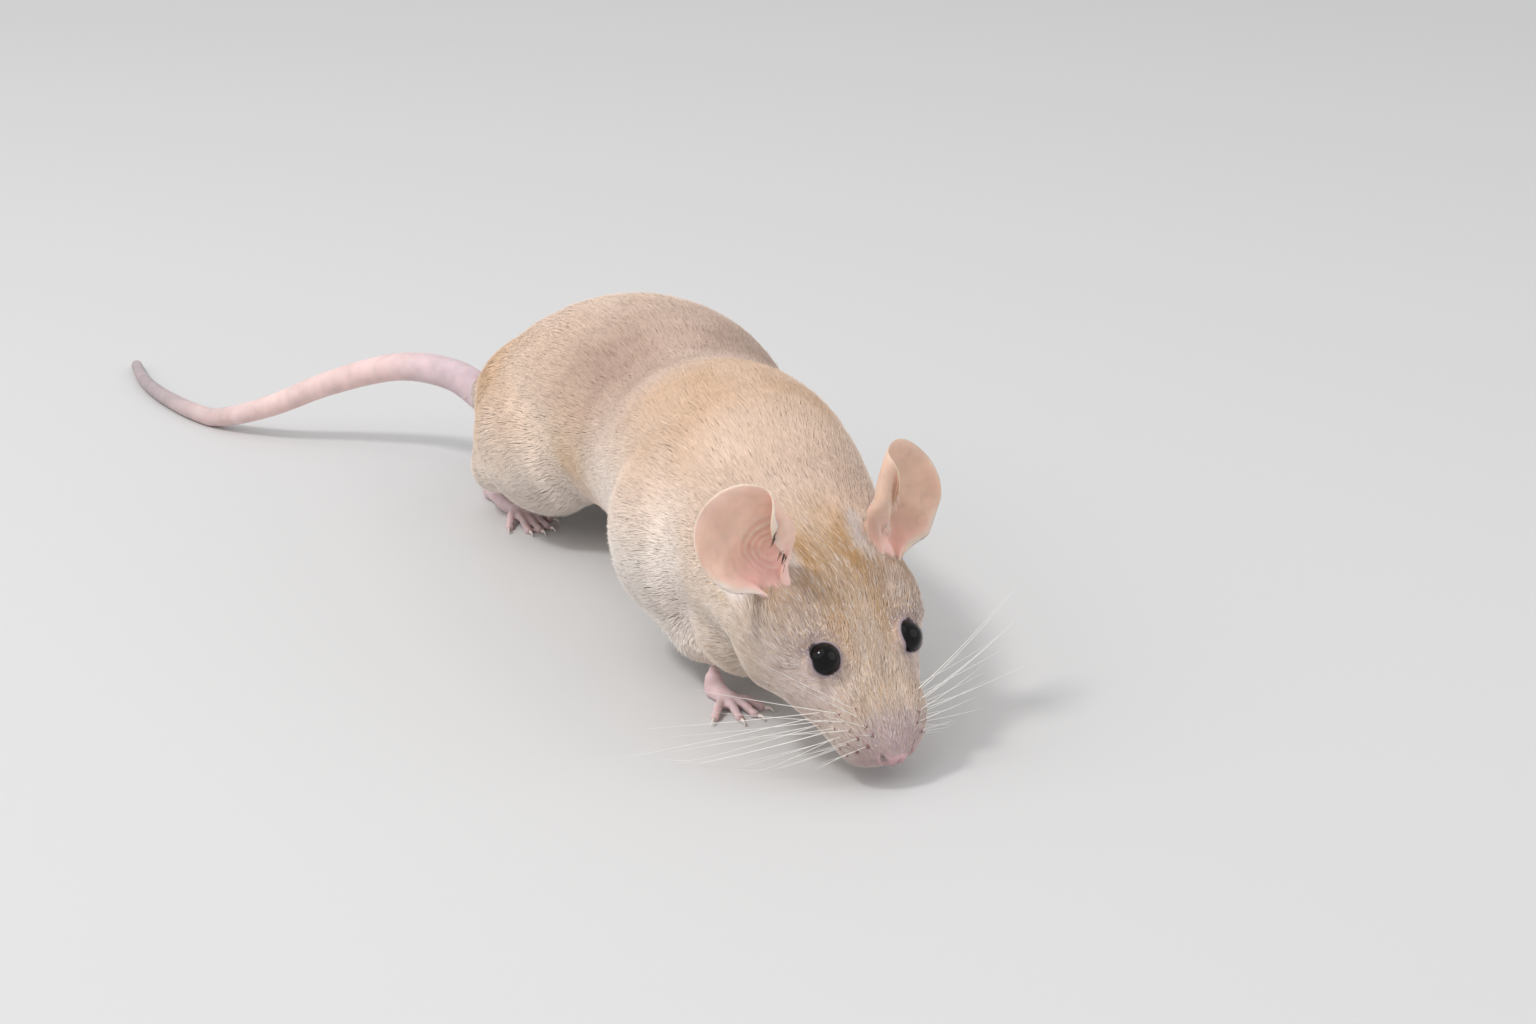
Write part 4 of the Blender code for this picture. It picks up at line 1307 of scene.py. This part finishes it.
# how hollow the body's surface is: how far a much smoothed copy stands over it; the fur is painted
# darker there, as shade
smoothed = eased(mesh, points, 1.0, 60)
hollow = np.clip(np.sum((smoothed - points) * normals, axis=1) / mm / 0.5, 0, 1)
hollow = hollow * ramp(headBack, 21, 30)
chosen, blend = rootsOn(mesh, crowding, fur["tufts"], rng)
root, normal, rootBare, rootHollowShade = (
    np.einsum("ij,ij...->i...", blend, values[chosen]) for values in (points, normals, bare, hollow)
)
keep = (rootBare < 0.55) & (root[:, 2] > 0.6 * mm)
kept = (root, unit(normal), rootHollowShade, toHead(root), toBody(root))
root, normal, rootHollowShade, h, q = (values[keep] for values in kept)
count = len(root)
way = swung(lieOf(root, normal), normal, np.radians(6) * rng.standard_normal(count))
depth = coatDepth(root)
length = along(h[:, 1], *fur["lengths"])
width = along(h[:, 1], *fur["widths"])
# shorter and thinner round the eyes and toward the feet, longer in wisps at the ears' roots
wisp = np.zeros(count)
for label, side in sides.items():
    near = sizeOf(root - centreOf("eye_" + label)) / mm
    length *= 0.30 + 0.70 * ramp(near, 1.9, 4.6)
    for end, reach in (("front", 9.0), ("hind", 12.0)):
        near = sizeOf(root - ankleOf(end, label)) / mm
        length *= 0.30 + 0.70 * ramp(near, 1.5, reach)
        width *= 0.6 + 0.4 * ramp(near, 1.5, reach)
    near = bell(sizeOf(h - mirrored(ear["root"], side)) - 3.2, 0.75)
    wisp = np.maximum(wisp, near * ramp(h[:, 1], ear["root"][1] - 2.5, ear["root"][1] + 0.5))
length *= 1 + 0.9 * wisp
length *= (0.8 + 0.4 * rng.random(count)) * (1 + 0.18 * noise3(root, 2.2 * mm, 31))
width *= 0.75 + 0.5 * rng.random(count)
rise = depth * (0.50 + 0.16 * rng.random(count))
tip = depth * (0.72 + 0.18 * rng.random(count) + 0.06 * noise3(root, 2.5 * mm, 37))
tip += (rng.random(count) < fur["strays"]) * depth * 0.35
# tufts lean toward the middle of their clump
cell = np.floor(root / (fur["clump"] * mm))
middles = cell + 0.5 + 0.35 * np.stack([noise3(cell, 1.0, 41 + k) for k in range(3)], -1)
pull = flattened(middles * fur["clump"] * mm - root, normal)
lean = pull / np.maximum(length * mm, 1e-6)[:, None] * fur["pull"]
tone = 1 + 0.06 * rng.standard_normal(count) + 0.05 * noise3(root, 1.2 * mm, 43)
colour = furColour(root, normal)
nearFace = fade(h[:, 1], 18, 30)
for name, share in fur["streaks"]:
    streak = rng.random(count) < 0.018 + 0.12 * nearFace
    colour = mixed(colour, name, streak * share * (0.3 + 0.7 * nearFace))
colour = mixed(colour, "wisp", wisp * 0.65)
# painted shade: the fur is darkened in the body's hollows
colour *= (np.clip(tone, 0.7, 1.3) * (1 - 0.16 * rootHollowShade))[:, None]
print("fur placed", count)


def spread01(a):
    return 0.01 + 0.97 * (a - a.min()) / max(np.ptp(a), 1e-9)


def cutUp(name, mine, place, turn):
    # pieces of no more than perPiece tufts, cut across the given axis and laid out round it
    order = np.flatnonzero(mine)
    order = order[np.argsort(place[order])]
    parts = np.array_split(order, -(-len(order) // fur["perPiece"]))
    for k, part in enumerate(parts):
        groups.append((f"{name}_{k + 1}", part, spread01(turn[part]), spread01(place[part])))


# the coat in pieces: the head's two halves round its own axis, the legs, and lengths of the
# body along the spine
onHead = h[:, 1] < 21
gaps = ankleGaps(root)
legOf = np.argmin(gaps, axis=0)
onLeg = (gaps.min(axis=0) < 9.5) & ~onHead
groups = []
turn = np.arctan2(h[:, 0], h[:, 2] + 0.5)
cutUp("coat_head_right", onHead & (turn < 0), h[:, 1], turn)
cutUp("coat_head_left", onHead & (turn >= 0), h[:, 1], turn)
# each leg has a quarter of the bake's square
order = np.flatnonzero(onLeg)
u, v = np.empty(len(order)), np.empty(len(order))
for k, limb in enumerate(limbs):
    mine = legOf[order] == k
    off = root[order[mine]] - ankleOf(*limb)
    u[mine] = k % 2 * 0.5 + 0.48 * spread01(np.arctan2(off[:, 0], off[:, 1]))
    v[mine] = k // 2 * 0.5 + 0.48 * spread01(off[:, 2])
groups.append(("coat_legs", order, u, v))
spine = along(q[:, 1], spineKnots[:, 1], spineKnots)
turn = np.arctan2(q[:, 0] - spine[:, 0], q[:, 2] - spine[:, 2])
cutUp("coat_body", ~onHead & ~onLeg, q[:, 1], turn)
tufts = (root, normal, way, length * mm, width * mm, rise * mm, tip * mm, lean, colour)
for name, part, u, v in groups:
    tuftPiece(name, u, v, *(values[part] for values in tufts))
    print(name, len(part) * 6)

skinLook = {
    "blotch": 420.0,  # for each metre
    # for the skin under the coat and for bare skin
    "grain": (1 / (0.0011 * 0.35), 1 / 0.00045),
    "bump": (0.6, 0.35),
    "height": (0.00012, 0.00006),
    "roughness": (0.75, 0.52),
    "shine": 0.35,
    "soft": {
        "Subsurface Weight": 0.45,
        "Subsurface Radius": (1.0, 0.35, 0.22),
        "Subsurface Scale": 0.0006,
    },
}


def skinFinish(name, isBare):
    material, nodes, links, shader = newMaterial(name)
    grain = grainNode(nodes, links, skinLook["grain"][isBare])
    setInputs(grain, {"Detail": 4})
    blotch = grainNode(nodes, links, skinLook["blotch"])
    level = nodes.new("ShaderNodeMapRange")
    setInputs(level, {"From Min": 0.3, "From Max": 0.7, "To Min": 0.90, "To Max": 1.06})
    links.new(blotch.outputs["Fac"], level.inputs["Value"])
    mix = nodes.new("ShaderNodeVectorMath")
    mix.operation = "SCALE"
    links.new(tintNode(nodes).outputs["Color"], mix.inputs[0])
    links.new(level.outputs["Result"], mix.inputs["Scale"])
    links.new(mix.outputs["Vector"], shader.inputs["Base Color"])
    bump = nodes.new("ShaderNodeBump")
    setInputs(bump, {"Strength": skinLook["bump"][isBare], "Distance": skinLook["height"][isBare]})
    links.new(grain.outputs["Fac"], bump.inputs["Height"])
    links.new(bump.outputs["Normal"], shader.inputs["Normal"])
    roughness = skinLook["roughness"][isBare]
    setInputs(shader, {"Roughness": roughness, "Specular IOR Level": skinLook["shine"]})
    if isBare:
        setInputs(shader, skinLook["soft"])
    return material


mesh.materials.append(skinFinish("underCoat", False))
mesh.materials.append(skinFinish("pinkSkin", True))
starts = valuesOf(mesh.polygons, "loop_start", 1).ravel()
first = valuesOf(mesh.loops, "vertex_index", 1).ravel()
mesh.polygons.foreach_set("material_index", (bare[first[starts]] > 0.5).astype(np.int32))
mesh.update()

studio = {
    "floor": {"Base Color": (0.62, 0.61, 0.60, 1), "Roughness": 0.7},
    "world": {"Color": (0.95, 0.97, 1.0, 1), "Strength": 0.72},
    "lights": {
        "key": {"power": 1.25, "size": 0.9, "place": (-0.36, 0.04, 0.52)},
        # a small light for the eyes to mirror
        "spark": {"power": 1.55, "size": 0.115, "place": (-0.35, 0.0, 0.57)},
        "fill": {"power": 0.7, "size": 0.6, "place": (0.35, -0.45, 0.35)},
    },
}
floorPoints = np.array([[-4, -4, 0], [4, -4, 0], [4, 4, 0], [-4, 4, 0]], float)
floor = meshObject("floor", floorPoints, [np.array([[0, 1, 2, 3]])])
floorMaterial, nodes, links, shader = newMaterial("paleFloor")
setInputs(shader, studio["floor"])
floor.data.materials.append(floorMaterial)

world = bpy.data.worlds.new("studio")
bpy.context.scene.world = world
world.use_nodes = True
setInputs(world.node_tree.nodes["Background"], studio["world"])


def aimed(item, place, way):
    item.location = place
    item.rotation_euler = Vector(way).to_track_quat("-Z", "Y").to_euler()


target = Vector(0.5 * (np.array(cadBox[0]) + np.array(cadBox[1])))
for name, plan in studio["lights"].items():
    lamp = bpy.data.lights.new(name, "AREA")
    lamp.energy = plan["power"]
    lamp.shape = "DISK"
    lamp.size = plan["size"]
    aimed(placed(name, lamp), plan["place"], target - Vector(plan["place"]))

camera = {
    "place": (-149.7, -264.6, 128.5),  # in the body's millimetres
    "looks": (0.4597, 0.8126, -0.3584),
    "lens": 67.97,
    "sensor": 36.0,
}
lensData = bpy.data.cameras.new("camera")
lensData.sensor_width = camera["sensor"]
lensData.lens = camera["lens"]
lensData.clip_start = 0.01
viewer = placed("camera", lensData)
aimed(viewer, fromBody(camera["place"]), camera["looks"])
bpy.context.scene.camera = viewer
bpy.context.scene.view_settings.view_transform = "Standard"
